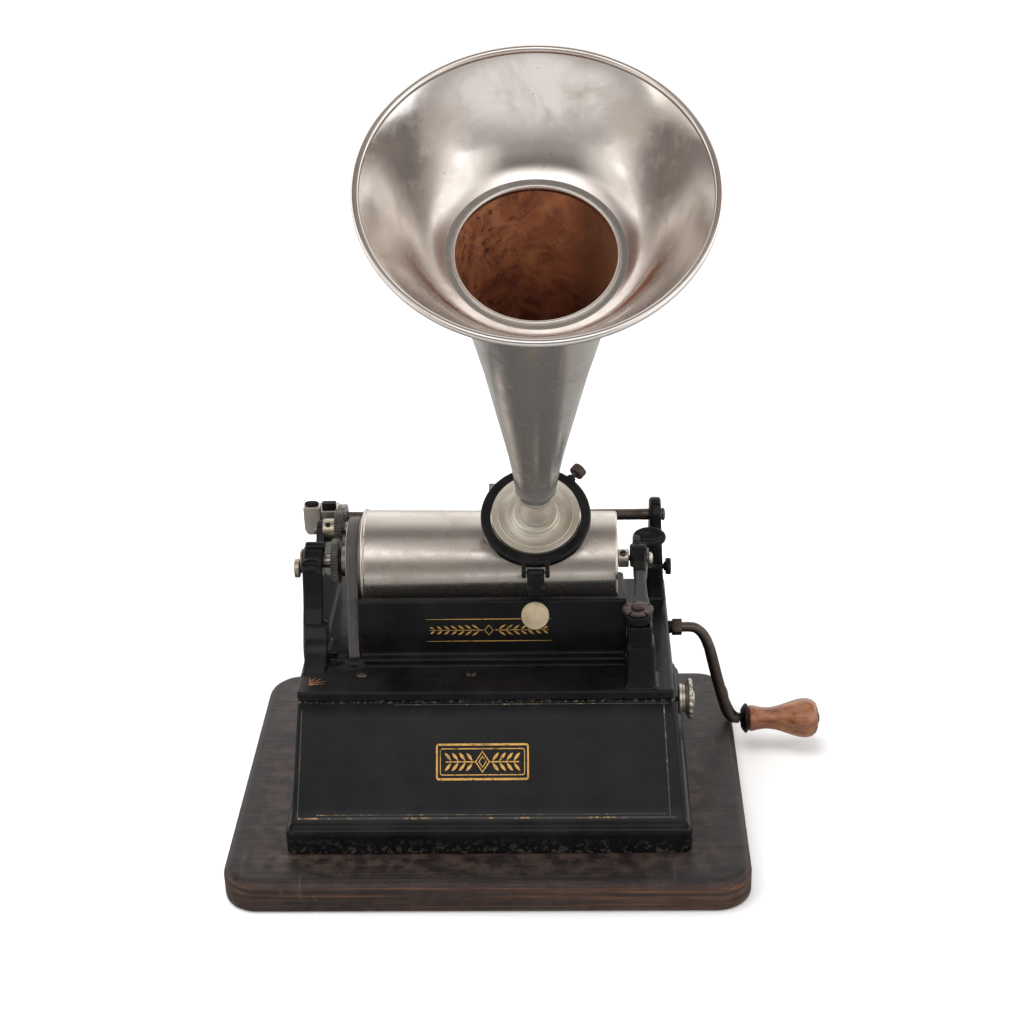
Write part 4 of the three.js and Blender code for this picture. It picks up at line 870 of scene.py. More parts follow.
def bedplate():
    def across(outline, x0, x1, width=0):
        part = prism("part", outline, x0, x1, ALONG_X, "japan")
        return bevel(part, width, 3, 20) if width else part

    def upright(outline, z0, z1, width):
        return bevel(prism("part", outline, z0, z1, LOCAL, "japan"), width, 2, 20)

    def post_tier(*stations):
        """the lower post outline scaled about its middle; stations are (scale, z)"""
        cx, cy = 67.5, -21.8
        return loft("part", [[(cx + (x - cx) * k, cy + (y - cy) * k, z) for x, y in POST_LOW]
                             for k, z in stations], "japan")

    cup_tilt = rot_x(0.437)
    # (growth, z) of the mounds at the apron's left end and at the rear post's foot
    left_mound = ((-0.6, 75.2), (0.0, 76.3), (0.5, 77.3), (1.0, 78.2), (1.8, 79.1), (2.8, 79.7))
    rear_mound = ((1.6, 75.4), (1.2, 76.3), (0.5, 77.3), (0.0, 79.0), (-0.6, 81.0))
    parts = [
        # the ledge, and the raised bed behind the apron
        slab(-83.2, 82.1, -30.5, 72, 2.2, 72.0, PLATE_TOP, 0.9),
        slab(-82.2, 62.4, -2.0, 71.6, 2.0, 74.0, 80.0, 0.8),
        across(APRON, -56.7, 62.0),
        # raised step in front of the apron, and the front lip of the belt slot
        across(APRON_STEP, -67.5, 62.4),
        loft("part", [level_ring(-67.6 + i, -52.0 - i, -10.6 + i, 4, 5.5, z)
                      for i, z in left_mound], "japan"),
        across(LEFT_STANDARD, -83.3, -74.3, 0.9),
        across(STANDARD_FOOT, -82.2, -72.0, 1.5),
        # rib for the idler stud and the rear bearing block
        across(IDLER_RIB, -79.7, -75.2, 0.7),
        lathe("part", [(0, -84), (6.6, -84), (7.2, -83.2), (7.2, -75), (6.4, -74.2), (0, -74.2)],
              MANDREL_AXIS, "japan", 64),
        # round lug lying across the top of the bearing
        lathe("part", [(0, -82.9), (2.1, -82.9), (2.5, -82.4), (2.5, -74.4), (2.1, -73.9), (0, -73.9)],
              along_x(26.4, 118.5), "japan", 40),
        # raised lip of the oval oil cup on the sloping top
        ring("part", [(2.9, 0.0), (3.5, 0.55), (4.5, 0.5), (4.9, -0.3), (4.9, -2.5), (2.9, -2.5)],
             at(-79.4, 16.4, 114.7) @ cup_tilt @ squeeze(0.72), "japan", 44),
        rear_post(),
        loft("part", [level_ring(72.2 - i, 81.4 + i * 0.3, 50.6 - i, 70.6 + i * 0.4, 2.0, z)
                      for i, z in rear_mound], "japan"),
        lathe("part", [(0, 74.1), (7.0, 74.1), (7.5, 74.6), (7.5, 79.2), (7.0, 79.7), (0, 79.7)],
              FEED_AXIS, "japan", 64),
        # gate post: two tiers with chamfered corners
        upright(POST_LOW, 75.0, 95.6, 0.9),
        post_tier((1.0, 94.0), (0.99, 95.2), (0.955, 96.2), (0.90, 97.2)),
        upright(POST_HIGH, 95.0, 105.9, 0.6),
        # fillet round its foot
        post_tier((1.16, 75.4), (1.12, 76.35), (1.06, 77.4), (1.02, 79.0), (0.99, 81.0)),
    ]
    plate = cast("bedplate_cast", parts, "japan", voxel=0.50, smooth=4)
    # machined cuts after the fusing stay crisp
    bore(plate, [(0, -0.9), (2.3, -0.75), (3.3, -0.2), (3.6, 0.5), (3.7, 3), (0, 3)],
         at(-79.4, 16.4, 114.8) @ cup_tilt @ squeeze(0.66), 44)
    bore(plate, rod(5.8, -77.15, -70), IDLER_AXIS, 56)
    bore(plate, rod(2.3, -90, -70), IDLER_AXIS, 32)
    belt_slot = block("cutter", [(x, y, 60) for x, y in rect(-63.0, -56.9, -13.8, 38)],
                      [(x, y, 82) for x, y in rect(-63.0, -56.9, -5.9, 38)], "japan")
    cut(plate, belt_slot)
    bore(plate, rod(3.35, -90, -70), MANDREL_AXIS, 40)
    bore(plate, rod(3.05, 70, 85), FEED_AXIS, 40)
    bore(plate, rod(1.6, 69, 85), along_x(52.2, 93.5), 28)
    bore(plate, rod(2.0, 97, 110), GATE_AXIS, 28)
    shade(plate.data, 50)
    fit(plate, "root", "bedplate")


def ledge_screws():
    for i, (x, y, mat, solid) in enumerate(((-55.4, -16.0, "steel", "ledge_screw_left"),
                                            (-6.8, -15.8, "screw", "ledge_screw_right"))):
        screw("ledge_screw_fine_%d" % (i + 1), at(x, y, PLATE_TOP + 0.05), mat, "root", (solid,),
              radius=2.6, height=1.9, dome=0.9, slot=(0.75, 0.8), shank=(1.35, 5.9),
              steps=40, turn=0.5 + i)


baseboard()
case()
bedplate()
ledge_screws()


# ============================================================ mandrel =======
def mandrel():
    drum = [(3.35, -56, 0.2), (23.2, -56, 0.5), (23.75, -55.3, 0.3), (23.75, -54.7, 0.3),
            (23.05, -54.2, 0.2), (21.5, 57.6, 0.8), (20.9, 58.6, 0.6), (12.0, 58.45, 0.2),
            (11.6, 58.1, 0.2), (3.35, 58.1, 0.2), (3.35, 56.2), (19.9, 56.2), (21.47, -53),
            (3.35, -53)]
    fit(ring("mandrel_nickel", drum, MANDREL_AXIS, "nickel_x", 200, sharp=30),
        "mandrel_unit", "mandrel")
    axle = [(0, -83.2), (2.6, -83.2), (3.0, -82.8), (3.0, 61.6), (2.6, 62.0), (0, 62.0)]
    fit(lathe("mandrel_axle", axle, MANDREL_AXIS, "steel_bright", 48),
        "mandrel_unit", "mandrel_shaft")
    pulley = [(3.3, -66.9, 0.2), (6.4, -66.9, 0.5), (7.0, -66.3, 0.4), (7.0, -63.3, 0.8),
              (12, -62.95, 0.3), (19.4, -62.95, 0.3), (19.9, -62.5, 0.2), (19.9, -62.35, 0.15),
              (18.6, -62.25, 0.1), (18.75, -60, 0.0), (18.5, -57.4, 0.1), (19.9, -57.3, 0.15),
              (19.9, -56.75, 0.2), (19.6, -56.5, 0.2), (3.3, -56.5)]
    fit(ring("belt_pulley", pulley, MANDREL_AXIS, "iron", 128), "mandrel_unit", "mandrel_pulley")
    refine("mandrel_gear", "gear_steel", "mandrel_unit", 0.05, 1)
    collar = [(3.3, 59.0, 0.2), (3.9, 59.0, 0.3), (4.15, 59.4, 0.2), (4.15, 63.4, 0.3),
              (3.8, 63.8, 0.2), (3.3, 63.8, 0.1)]
    fit(ring("mandrel_hub_collar", collar, MANDREL_AXIS, "nickel", 64),
        "mandrel_unit", "mandrel_collar")
    screw("hub_set_screw", at(61.2, MANDREL[0] - 2.2, MANDREL[1] + 3.4) @ rot_x(radians(32)),
          "screw", "mandrel_unit", ("collar_set_screw",), radius=1.5, height=1.3, dome=0.3,
          slot=(0.4, 0.5), steps=28, turn=0.3)
    # left bearing hardware
    washer = [(0, -84.35), (5.2, -84.35, 0.2), (5.6, -84.6, 0.2), (5.6, -85.2, 0.2),
              (5.2, -85.5, 0.2), (0, -85.6)]
    fit(lathe("end_washer_nickel", washer, MANDREL_AXIS, "nickel", 64), "root", "end_screw")
    screw("end_plate_screw", along_x(22.4, 109.8) @ at(0, 0, -85.5) @ rot_x(PI), "nickel", "root",
          radius=4.3, height=2.6, dome=0.5, slot=(0.9, 0.8), steps=44, turn=0.2)


def belt():
    half_width, half_thick = 2.35, 0.65
    mid_x = -59.9
    upper, lower = 18.5 + 0.3, 12 + 0.3         # inner radius of the belt on each pulley
    rise_y, rise_z = MANDREL[0] - PULLEY[0], MANDREL[1] - PULLEY[1]
    lean = math.atan2(rise_z, rise_y)
    wrap = math.acos(-(upper - lower) / math.hypot(rise_y, rise_z))

    def arc(centre, radius, start, swing, steps):
        turns = [start + swing * i / steps for i in range(steps + 1)]
        return [(centre[0] + radius * cos(t), centre[1] + radius * sin(t)) for t in turns]

    def straight(a, b, steps=30):
        return [(a[0] + (b[0] - a[0]) * i / steps, a[1] + (b[1] - a[1]) * i / steps)
                for i in range(1, steps)]

    top = arc(MANDREL, upper + half_thick, lean - wrap, 2 * wrap, 60)
    bottom = arc(PULLEY, lower + half_thick, lean + wrap, 2 * (PI - wrap), 44)
    line = top + straight(top[-1], bottom[0]) + bottom + straight(bottom[-1], top[0])
    w, h = half_width, half_thick
    # strap section: (outward, along X)
    section = [(-h, -w + 0.25), (-h, w - 0.25), (-h + 0.25, w), (h - 0.3, w), (h, w - 0.45),
               (h, -w + 0.45), (h - 0.3, -w), (-h + 0.25, -w)]
    middle = Vector(((MANDREL[0] + PULLEY[0]) / 2, (MANDREL[1] + PULLEY[1]) / 2))
    rings = []
    for i, point in enumerate(line):
        p = Vector(point)
        along = (Vector(line[(i + 1) % len(line)]) - Vector(line[i - 1])).normalized()
        outward = Vector((along.y, -along.x))
        if outward.dot(p - middle) < 0:
            outward = -outward
        stray = 0.12 * noise.noise(Vector((p.x * 0.35, p.y * 0.35, 3.0)))
        rings.append([(mid_x + side + stray, p.x + outward.x * out, p.y + outward.y * out)
                      for out, side in section])
    fit(loft("belt_strap", rings, "leather", closed=True, sharp=40), "root", "drive_belt")


mandrel()
belt()


# ========================================================== feed train ======
def feed_gears():
    refine("idler_gear", "gear_steel", "idler", 0.05, 1)
    refine("feed_gear", "gear_nickel", "feed", 0.05, 1)
    hub = [(2.3, -76.9, 0.1), (5.0, -76.9, 0.3), (5.42, -76.4, 0.3), (5.42, -71.3, 0.2),
           (5.0, -71.05, 0.1), (2.3, -71.05)]
    fit(ring("idler_hub_fine", hub, IDLER_AXIS, "collar", 72), "idler")
    oil_hole = [(0, 5.38), (1.15, 5.38), (1.25, 5.5), (0.95, 5.56), (0, 5.50)]
    fit(lathe("idler_oil_hole", oil_hole, at(-74.2, *IDLER) @ rot_x(radians(38)),
              "screw_black", 28), "idler")
    stud = [(0, -81), (1.95, -81), (1.95, -66.9), (3.4, -66.9, 0.1), (3.6, -66.6, 0.1),
            (3.6, -65.6, 0.4), (3.0, -65.2, 0.3), (0, -65.2)]
    fit(lathe("idler_stud_fine", stud, IDLER_AXIS, "steel_bright", 40), "root", "idler_stud")


def feed_screw():
    """rod with a fine thread between the bearings"""
    radius, root, pitch = 2.65, 2.50, 0.8
    x = -62.0
    profile = [(0, -86.6), (2.3, -86.6), (radius, -86.2), (radius, -66.0), (radius, x)]
    while x < 70:
        profile += [(radius, x + 0.30), (root, x + 0.5), (radius, x + 0.7)]
        x += pitch
    profile += [(radius, 73.5), (radius, 80.2), (2.8, 80.2, 0.1), (3.0, 80.4, 0.1),
                (3.0, 81.0, 0.4), (2.0, 81.6, 0.4), (0, 81.75)]
    fit(lathe("feed_screw_threaded", profile, FEED_AXIS, "steel", 40, arc=2, sharp=25),
        "feed", "feed_screw")


def bearing_block():
    parts = [prism("part", outline, x0, x1, ALONG_X, "nickel") for outline, x0, x1 in (
        ([(56, 109.4), (67, 109.4), (67, 117.5), (61.4, 123.6), (56, 123.6)], -87.4, -80.1),
        (rect(56, 61.4, 112.5, 123.6), -80.6, -79.4),
        (rect(56.6, 66.6, 111.7, 121.3), -80.6, -71.6))]
    body = cast("bearing_block_cast", parts, "nickel", voxel=0.22, smooth=6)
    # (x, z) of what is taken off the lower left corner
    corner = ((-92, 105), (-84.9, 105), (-84.9, 109.0), (-86.4, 110.4), (-88.2, 114.0), (-92, 116))
    faces = [[0, 1, 2, 3, 4, 5], [11, 10, 9, 8, 7, 6]]
    faces += [[i, i + 6, (i + 1) % 6 + 6, (i + 1) % 6] for i in range(6)]
    cut(body, make("cutter", [(x, y, z) for y in (50, 72) for x, z in corner], faces, "nickel"))
    bore(body, rod(3.05, -86.9, -70), FEED_AXIS, 48)
    bevel(body, 0.25, 2, 40)
    fit(body, "root", "feed_bearing_block")
    screw("block_oil_cap", at(-83.6, 58.8, 123.85) @ squeeze(0.60), "screw_black", "root",
          ("block_oil_screw",), radius=3.3, height=1.6, dome=0.5, slot=(1.3, 0.6),
          shank=(1.2, 3.5), steps=44, turn=0.1)
    head = prism("cap_square_head", round_rect(-78.8, -72.2, 57.4, 60.8, 0.8, 4), 121.6, 124.9,
                 LOCAL, "screw_black")
    fit(bevel(head, 0.4, 3, 20), "root", "block_cap_screw")
    fit(lathe("cap_screw_shank", rod(1.0, 120.0, 121.9), at(-75.5, 59.1, 0), "screw_black", 24),
        "root")


def post_thumbscrew():
    profile = [(0, 73.6), (1.25, 73.6), (1.25, 81.05), (2.1, 81.05, 0.2), (2.1, 81.8, 0.1),
               (3.5, 81.9), (3.9, 82.2), (3.9, 84.0), (3.5, 84.4), (2.2, 84.2), (1.6, 83.9),
               (0, 83.8)]
    fit(knurled("post_thumbscrew_fine", profile, along_x(56.6, 90.5), "screw_black",
                ridges=30, depth=0.22, low=82.1, high=84.1), "thumbscrew", "post_thumbscrew")


feed_gears()
feed_screw()
bearing_block()
post_thumbscrew()


# ========================================================== swing gate ======
def swing_gate():
    eye = 6.2
    # arm from above (x, y): half round at the pivot, then the two long sides
    outline = [(GATE_X + eye * cos(PI + PI * i / 24), GATE_Y + eye * sin(PI + PI * i / 24))
               for i in range(25)]
    outline += [(GATE_X + eye, GATE_Y + 3.0), (GATE_X + 5.6, GATE_Y + 7.5), (71.4, -8), (70.9, 8),
                (71.2, 24), (65.6, 24), (65.9, 8), (65.2, -8), (GATE_X - 4.8, GATE_Y + 7.0),
                (GATE_X - eye, GATE_Y + 3.0)]
    # (y, z) of the swelling into the knuckle, and of the neck up to the thumb piece
    swell = [(14, 106.5), (14, 111.3), (20, 113.2), (24, 116.0), (29, 117.2), (34, 114.8),
             (34, 109.4), (28, 107.0)]
    neck = [(25, 112), (26, 116.6), (31, 118.2), (35, 118.6), (38, 117.2), (36, 112.5), (31, 110.0)]
    knuckle = [(0, 64.3), (4.6, 64.3), (5.4, 65.1), (5.5, 71.3), (4.7, 72.1), (0, 72.1)]
    thumb = [(0, -0.1), (2.5, 0.1), (4.4, 0.8), (5.7, 1.65), (6.8, 1.8), (7.6, 1.0), (7.6, -0.6),
             (7.0, -1.5), (4.0, -1.9), (0, -1.95)]
    parts = [
        bevel(prism("part", outline, 106.3, 111.3, LOCAL, "japan"), 1.2, 4, 20),
        lathe("part", knuckle, along_x(MANDREL[0] + 0.8, MANDREL[1] + 0.9), "japan", 56),
        bevel(prism("part", swell, 65.6, 71.4, ALONG_X, "japan"), 1.2, 3, 20),
        bevel(prism("part", neck, 65.7, 69.6, ALONG_X, "japan"), 1.1, 3, 20),
        lathe("part", thumb, at(73.4, 36, 116.6) @ rot_x(0.45) @ squeeze(0.69), "japan", 72),
    ]
    gate = cast("swing_gate_cast", parts, "japan", voxel=0.32, smooth=5)
    bore(gate, rod(2.0, 60, 80), MANDREL_AXIS, 36)
    bore(gate, rod(2.1, 100, 116), GATE_AXIS, 36)
    shade(gate.data, 50)
    fit(gate, "gate", "swing_gate")


def gate_hardware():
    pin = [(0, 62.7), (0.5, 62.75), (1.65, 64.7), (1.65, 72.4), (2.3, 72.4, 0.2),
           (2.8, 72.8, 0.3), (2.8, 73.7, 0.6), (1.9, 74.6, 0.5), (0, 74.8)]
    fit(lathe("centre_pin_fine", pin, MANDREL_AXIS, "nickel", 48), "gate", "centre_pin")
    section = [(1.9, 111.7, 0.1), (6.3, 111.7, 0.2), (6.7, 112.05, 0.15), (6.7, 112.5, 0.2),
               (6.2, 112.9, 0.3), (1.9, 113.0, 0.1)]
    washer = ring("gate_washer_notched", section, GATE_AXIS, "screw", 80)
    for turn in (0.45, 1.9, 2.75, 4.1, 5.3):
        notch = prism("cutter", rect(4.7, 9, -0.38, 0.38), 100, 120, LOCAL, "screw")
        move(notch, GATE_AXIS @ Matrix.Rotation(turn, 4, "Z"))
        cut(washer, notch)
    shade(washer.data, 32)
    fit(washer, "root", "gate_pivot_screw")
    screw("gate_pivot_screw_fine", at(GATE_X, GATE_Y, 112.9), "screw", "root", radius=2.9,
          height=1.5, dome=0.6, slot=(0.6, 0.8), shank=(1.55, 13.5), steps=40, turn=0.1)


swing_gate()
gate_hardware()


# =============================================================== crank ======
def crank_rod():
    """cranked rod along a smooth path, thicker toward the handle"""
    path = smooth_path([(89.0, 40, 67), (92.6, 40, 67), (95.9, 40, 66.1), (99.2, 40, 62.6),
                        (101.9, 40, 56.4), (103.8, 40, 48.9), (106.1, 40, 39.2),
                        (108.8, 40, 28.8), (111.3, 40, 21.2), (113.9, 40, 17.2),
                        (117.4, 40, HANDLE_Z)], 10)
    last, sides = len(path) - 1, 28
    up = Vector((0, 1, 0))
    rings = []
    for i, p in enumerate(path):
        f = i / last
        radius = (2.38 + 0.34 * min(1, max(0, (f - 0.22) / 0.25))
                  + 0.30 * math.exp(-((f - 0.84) / 0.09) ** 2)      # swelling near the end
                  - 0.35 * max(0, (f - 0.93) / 0.07))
        along = (path[min(i + 1, last)] - path[max(i - 1, 0)]).normalized()
        u = (up - along * up.dot(along)).normalized()
        v = along.cross(u)
        turns = [2 * PI * k / sides for k in range(sides)]
        rings.append([tuple(p + (u * cos(t) + v * sin(t)) * radius) for t in turns])
    fit(loft("crank_rod", rings, "steel"), "crank", "crank_arm")


def crank_handle():
    rivet = [(0, 117.6), (1.8, 117.6), (1.8, 154.6), (2.5, 154.75, 0.1), (2.7, 155.0, 0.2),
             (1.9, 155.5, 0.3), (0, 155.6)]
    fit(lathe("handle_rivet", rivet, HANDLE_AXIS, "steel_hub", 36), "crank", "handle_spindle")
    collar = [(2.3, 118.1, 0.1), (4.2, 118.0, 0.3), (5.4, 118.6, 0.5), (7.0, 119.8, 0.3),
              (7.15, 120.7, 0.3), (6.0, 121.5, 0.3), (2.3, 121.6, 0.1)]
    fit(ring("handle_collar", collar, HANDLE_AXIS, "ferrule", 72), "handle", "handle_ferrule")
    # wooden grip: (radius, x), every point but the ends rounded
    grip = [(5.9, 121.8), (6.25, 122.6), (6.2, 123.7), (5.75, 125.4), (5.35, 127.4),
            (5.15, 129.6), (5.25, 132.0), (5.7, 134.6), (6.45, 137.2), (7.4, 140.0),
            (8.35, 142.8), (9.1, 145.4), (9.45, 148.0), (9.3, 150.2), (8.6, 152.2),
            (7.2, 153.8), (5.2, 154.6), (3.2, 154.75)]
    profile = [(2.2, 121.8)] + [(r, x, 0.8) for r, x in grip] + [(2.2, 154.7)]
    fit(ring("handle_wood", profile, HANDLE_AXIS, "mahogany", 96, sharp=50),
        "handle", "crank_handle")


def brake_knob():
    profile = [(0, 85.0), (6.4, 85.0, 0.3), (6.8, 85.5, 0.3), (6.7, 86.6, 0.3), (6.3, 87.0, 0.2),
               (6.3, 87.9, 0.3), (6.7, 88.4, 0.3), (8.4, 89.1, 0.3), (9.1, 89.6, 0.3),
               (9.1, 90.7, 0.3), (8.6, 91.3, 0.3), (6.6, 91.0, 0.3), (5.6, 91.3, 0.2),
               (3.6, 91.6, 0.3), (3.0, 92.2, 0.3), (0, 92.4)]
    rounded = [(r, h) for r, h, _ in fillet(profile, closed=False, arc=4)]
    fit(knurled("brake_knob_fine", rounded, along_x(*BRAKE), "nickel", ridges=16, depth=0.42,
                low=89.3, high=91.2, steps=192), "brake", "brake_knob")


refine("crank_shaft", "steel_hub", "crank", 0.3)
crank_rod()
crank_handle()
brake_knob()
refine("brake_spindle", "steel", "brake", 0.15)

# =============================================================== motor ======
# solid, material, body it rides, bevel width
for motor_part in (
        ("motor_frame", "iron", "root", 0.35),
        ("spring_barrel", "brass", "barrel", 0.15),
        ("mainspring", "steel", "barrel", 0.0),
        ("barrel_arbor", "steel_bright", "winding", 0.3),
        ("winding_wheel", "brass", "winding", 0.15),
        ("winding_click", "steel", "click", 0.15),
        ("pulley_arbor", "steel_bright", "pulley_unit", 0.12),
        ("motor_pulley", "iron", "pulley_unit", 0.2),
        ("second_wheel", "brass", "pulley_unit", 0.12),
        ("governor_spindle", "steel_bright", "governor", 0.12),
        ("governor_weights", "brass", "governor", 0.12)):
    refine(*motor_part)

# ============================================================ carriage ======
CARRIAGE_X = CARRIAGE @ ALONG_X
CLAMP = CARRIAGE @ Matrix.Rotation(radians(50.5), 4, "Z") @ Matrix.Rotation(PI / 2, 4, "Y")
BUTTON = CARRIAGE @ at(-0.6, -39.4, -17.2) @ rot_x(-TILT) @ rot_x(PI / 2 - 0.5)


def carriage_prism(outline, x0, x1, width, segments, limit):
    return bevel(prism("part", outline, x0, x1, CARRIAGE_X, "japan_ring"), width, segments, limit)


def carriage_frame():
    section = [(19.65, -2.2, 0.2), (23.4, -2.2, 0.7), (24.0, -1.6, 0.5), (24.0, 1.3, 0.5),
               (23.3, 2.0, 0.8), (19.95, 2.0, 0.3), (19.65, 1.7, 0.2)]
    # (y, z) in the carriage frame: curved arm back and down to the feed screw, and the front fork
    arm = [(21, 1.7), (29, 0.5), (36, -6), (41.5, -18), (43, -32), (41.5, -46),
           (EYE_Y + 5, EYE_Z + 2.5), (EYE_Y + 1, EYE_Z - 4), (EYE_Y - 2, EYE_Z + 5),
           (34.5, -45), (36.5, -33), (35.5, -22), (31, -11), (25.5, -5), (21, -2.1)]
    fork = [(-22.5, 1.7), (-27.0, 1.6), (-28.6, -0.6), (-28.4, -2.8), (-27.0, -4.5),
            (-24.8, -4.6), (-22.5, -2.1)]
    eye = CARRIAGE @ at(0, EYE_Y, EYE_Z) @ ALONG_X
    parts = [
        ring("part", section, CARRIAGE, "japan_ring", 180),
        carriage_prism(smooth_path(arm, 4, closed=True), -6.5, 6.5, 1.2, 3, 40),
        lathe("part", [(0, -14.5), (5.6, -14.5), (6.1, -13.9), (6.1, 13.9), (5.6, 14.5), (0, 14.5)],
              eye, "japan_ring", 56),
        # clamp boss
        lathe("part", [(0, 22), (2.0, 22), (2.1, 24.8), (1.8, 25.3), (0, 25.3)],
              CLAMP, "japan_ring", 32),
        carriage_prism(fork, -6.0, -4.15, 0.4, 2, 30),
        carriage_prism(fork, 4.15, 6.0, 0.4, 2, 30),
    ]
    body = cast("carriage_cast", parts, "japan_ring", voxel=0.30, smooth=3)
    bore(body, rod(4.65, -30, 30), eye, 48)
    bore(body, rod(1.4, 15, 40), CLAMP, 28)
    shade(body.data, 50)
    fit(body, "carriage_unit", "carriage")


def carriage_fittings():
    bush = [(3.0, -17.5, 0.2), (4.3, -17.5, 0.3), (4.3, 17, 0.3), (3.0, 17, 0.2)]
    fit(ring("slide_bush_brass", bush, along_x(*FEED, x=CARRIAGE_AT.x), "brass", 56),
        "slide", "slide_bush")
    refine("half_nut", "brass", "carriage_unit", 0.3)
    refine("nut_spring", "steel_bright", "carriage_unit", 0.1)
    thumb = [(0, 19.75), (1.05, 19.75), (1.05, 26.4), (1.6, 26.9), (1.9, 27.2), (3.1, 27.3),
             (3.35, 27.6), (3.35, 30.6), (3.1, 31.0), (2.2, 31.3), (0, 31.4)]
    fit(knurled("clamp_thumbscrew", thumb, CLAMP, "screw", ridges=28, depth=0.2, low=27.5,
                high=30.8), "clamp", "clamp_screw")


def lift_lever():
    """shaped bar below the fork, with the round button on its end"""
    bar = [(-24.9, -0.4), (-27.4, -0.3), (-29.6, -3.0), (-33.4, -8.4), (-36.6, -12.6),
           (-38.4, -14.6), (-37.4, -16.4), (-35.2, -14.8), (-31.0, -9.6), (-27.0, -4.4),
           (-24.9, -3.0)]
    shoulder = [(-26.2, 0.1), (-29.2, -1.6), (-31.4, -5.0), (-30.0, -6.4), (-26.8, -3.8)]
    parts = [carriage_prism(bar, -3.7, 3.7, 0.55, 3, 25),
             carriage_prism(shoulder, -3.2, 3.2, 0.6, 3, 25)]
    for x in (-2.4, 2.4):
        parts.append(lathe("part", [(0, 1.1), (1.0, 0.9), (1.5, 0), (1.0, -1), (0, -1.1)],
                           CARRIAGE @ at(x, -32.0, -5.6), "japan_ring", 24))
    lever = cast("lift_lever_cast", parts, "japan_ring", voxel=0.22, smooth=2)
    bore(lever, rod(9, -1.9, 6), BUTTON, 48)
    shade(lever.data, 50)
    fit(lever, "lever", "lift_lever")
    fit(lathe("lever_pivot_pin", rod(0.7, -6.1, 6.1), CARRIAGE @ at(0, -26.2, -1.6) @ ALONG_X,
              "steel", 24), "lever")
    button = [(0, -1.6), (5.5, -1.6, 0.3), (6.05, -1.1, 0.3), (6.05, 0.9, 0.4), (5.6, 1.45, 0.3),
              (5.2, 1.35, 0.2), (4.9, 1.5, 0.2), (2.5, 1.85, 1.0), (0, 1.95)]
    fit(lathe("lift_button_nickel", button, BUTTON, "button", 96), "lever", "lift_button")


def rim_beads():
    """plain beaded border on the reproducer's rim"""
    count, circle, height, radius = 96, 17.35, 2.93, 0.30
    bm = bmesh.new()
    for k in range(count):
        turn = 2 * PI * k / count
        centre = CARRIAGE @ Vector((circle * cos(turn), circle * sin(turn), height))
        bmesh.ops.create_icosphere(bm, subdivisions=1, radius=radius * MM,
                                   matrix=Matrix.Translation(centre * MM))
    mesh = bpy.data.meshes.new("rim_beads")
    bm.to_mesh(mesh)
    bm.free()
    mesh.materials.append(MAT["nickel_disc"])
    beads = link("rim_beads", mesh)
    shade(mesh, 180)
    fit(beads, "carriage_unit")


def reproducer():
    # rim, dished ring, raised boss, tube
    shell = [(3.6, 11.0, 0.2), (5.3, 11.0, 0.3), (5.3, 5.0, 0.8), (6.4, 4.5, 0.3),
             (9.2, 4.2, 0.6), (9.9, 3.6, 0.4), (10.1, 2.9, 0.4), (10.9, 2.5, 0.3),
             (11.3, 1.9, 0.4), (13.4, 1.6, 0.8), (15.4, 2.3, 0.6), (16.0, 3.05, 0.25),
             (16.4, 2.75, 0.15), (18.3, 3.15, 0.3), (18.9, 3.45, 0.25), (19.15, 3.0, 0.2),
             (19.15, -6.2, 0.4), (18.9, -6.4, 0.2), (17.2, -6.4, 0.2), (17.2, -0.6, 0.3),
             (3.6, 0.4, 0.2)]
    fit(ring("reproducer_shell", shell, CARRIAGE, "nickel_disc", 200, sharp=28),
        "carriage_unit", "reproducer_body")
    rim_beads()
    fit(lathe("diaphragm_mica", rod(16.8, -2.2, -1.4), CARRIAGE, "mica", 96),
        "carriage_unit", "diaphragm")
    gasket = [(14.2, -3.6, 0.3), (16.9, -3.6, 0.3), (16.9, -2.5, 0.3), (14.2, -2.5, 0.3)]
    fit(ring("gasket_ring", gasket, CARRIAGE, "rubber", 96), "carriage_unit", "diaphragm_gasket")
    refine("reproducer_weight", "brass", "weight", 0.5, 3)
    refine("stylus_lever", "steel_bright", "weight", 0.08, 1)


carriage_frame()
carriage_fittings()
lift_lever()
reproducer()

# ================================================================ horn ======
# cone walls, as (distance along the horn, radius)
CONE_OUTSIDE = ((26.8, 8.85), (30, 8.98), (36, 9.35), (44, 10.1), (56, 11.35), (70, 13.15),
                (85, 15.15), (100, 17.15), (112, 18.75), (125, 20.5), (140, 22.85),
                (155, 25.2), (170, 27.6), (180, 29.2), (187.6, 30.5))
CONE_INSIDE = ((182, 28.65), (170, 26.7), (155, 24.3), (125, 19.6), (100, 16.25), (70, 12.25),
               (44, 9.2), (30, 8.1), (26.6, 7.9))
# bell walls, as (radius, distance[, fillet]): inside up to the rim, outside back down
BELL_INSIDE = [(28.45, 191.6, 0.5), (28.5, 190.4, 0.4), (30.6, 189.9, 0.5), (32.0, 190.1, 0.6),
               (35.6, 191.9), (38.3, 194.1), (41.2, 197.2), (44.3, 201.2), (47.2, 205.4),
               (50.3, 210.2), (53.3, 215.0), (56.3, 219.9), (58.7, 223.9), (60.2, 226.6)]
BELL_OUTSIDE = [(57.4, 225.2), (55.2, 221.3), (52.4, 216.4), (49.4, 211.4), (46.4, 206.8),
                (43.4, 202.6), (40.3, 198.8), (37.4, 196.0), (34.6, 194.0), (31.8, 192.9, 0.8),
                (30.0, 192.75, 0.4), (28.9, 192.5, 0.3)]


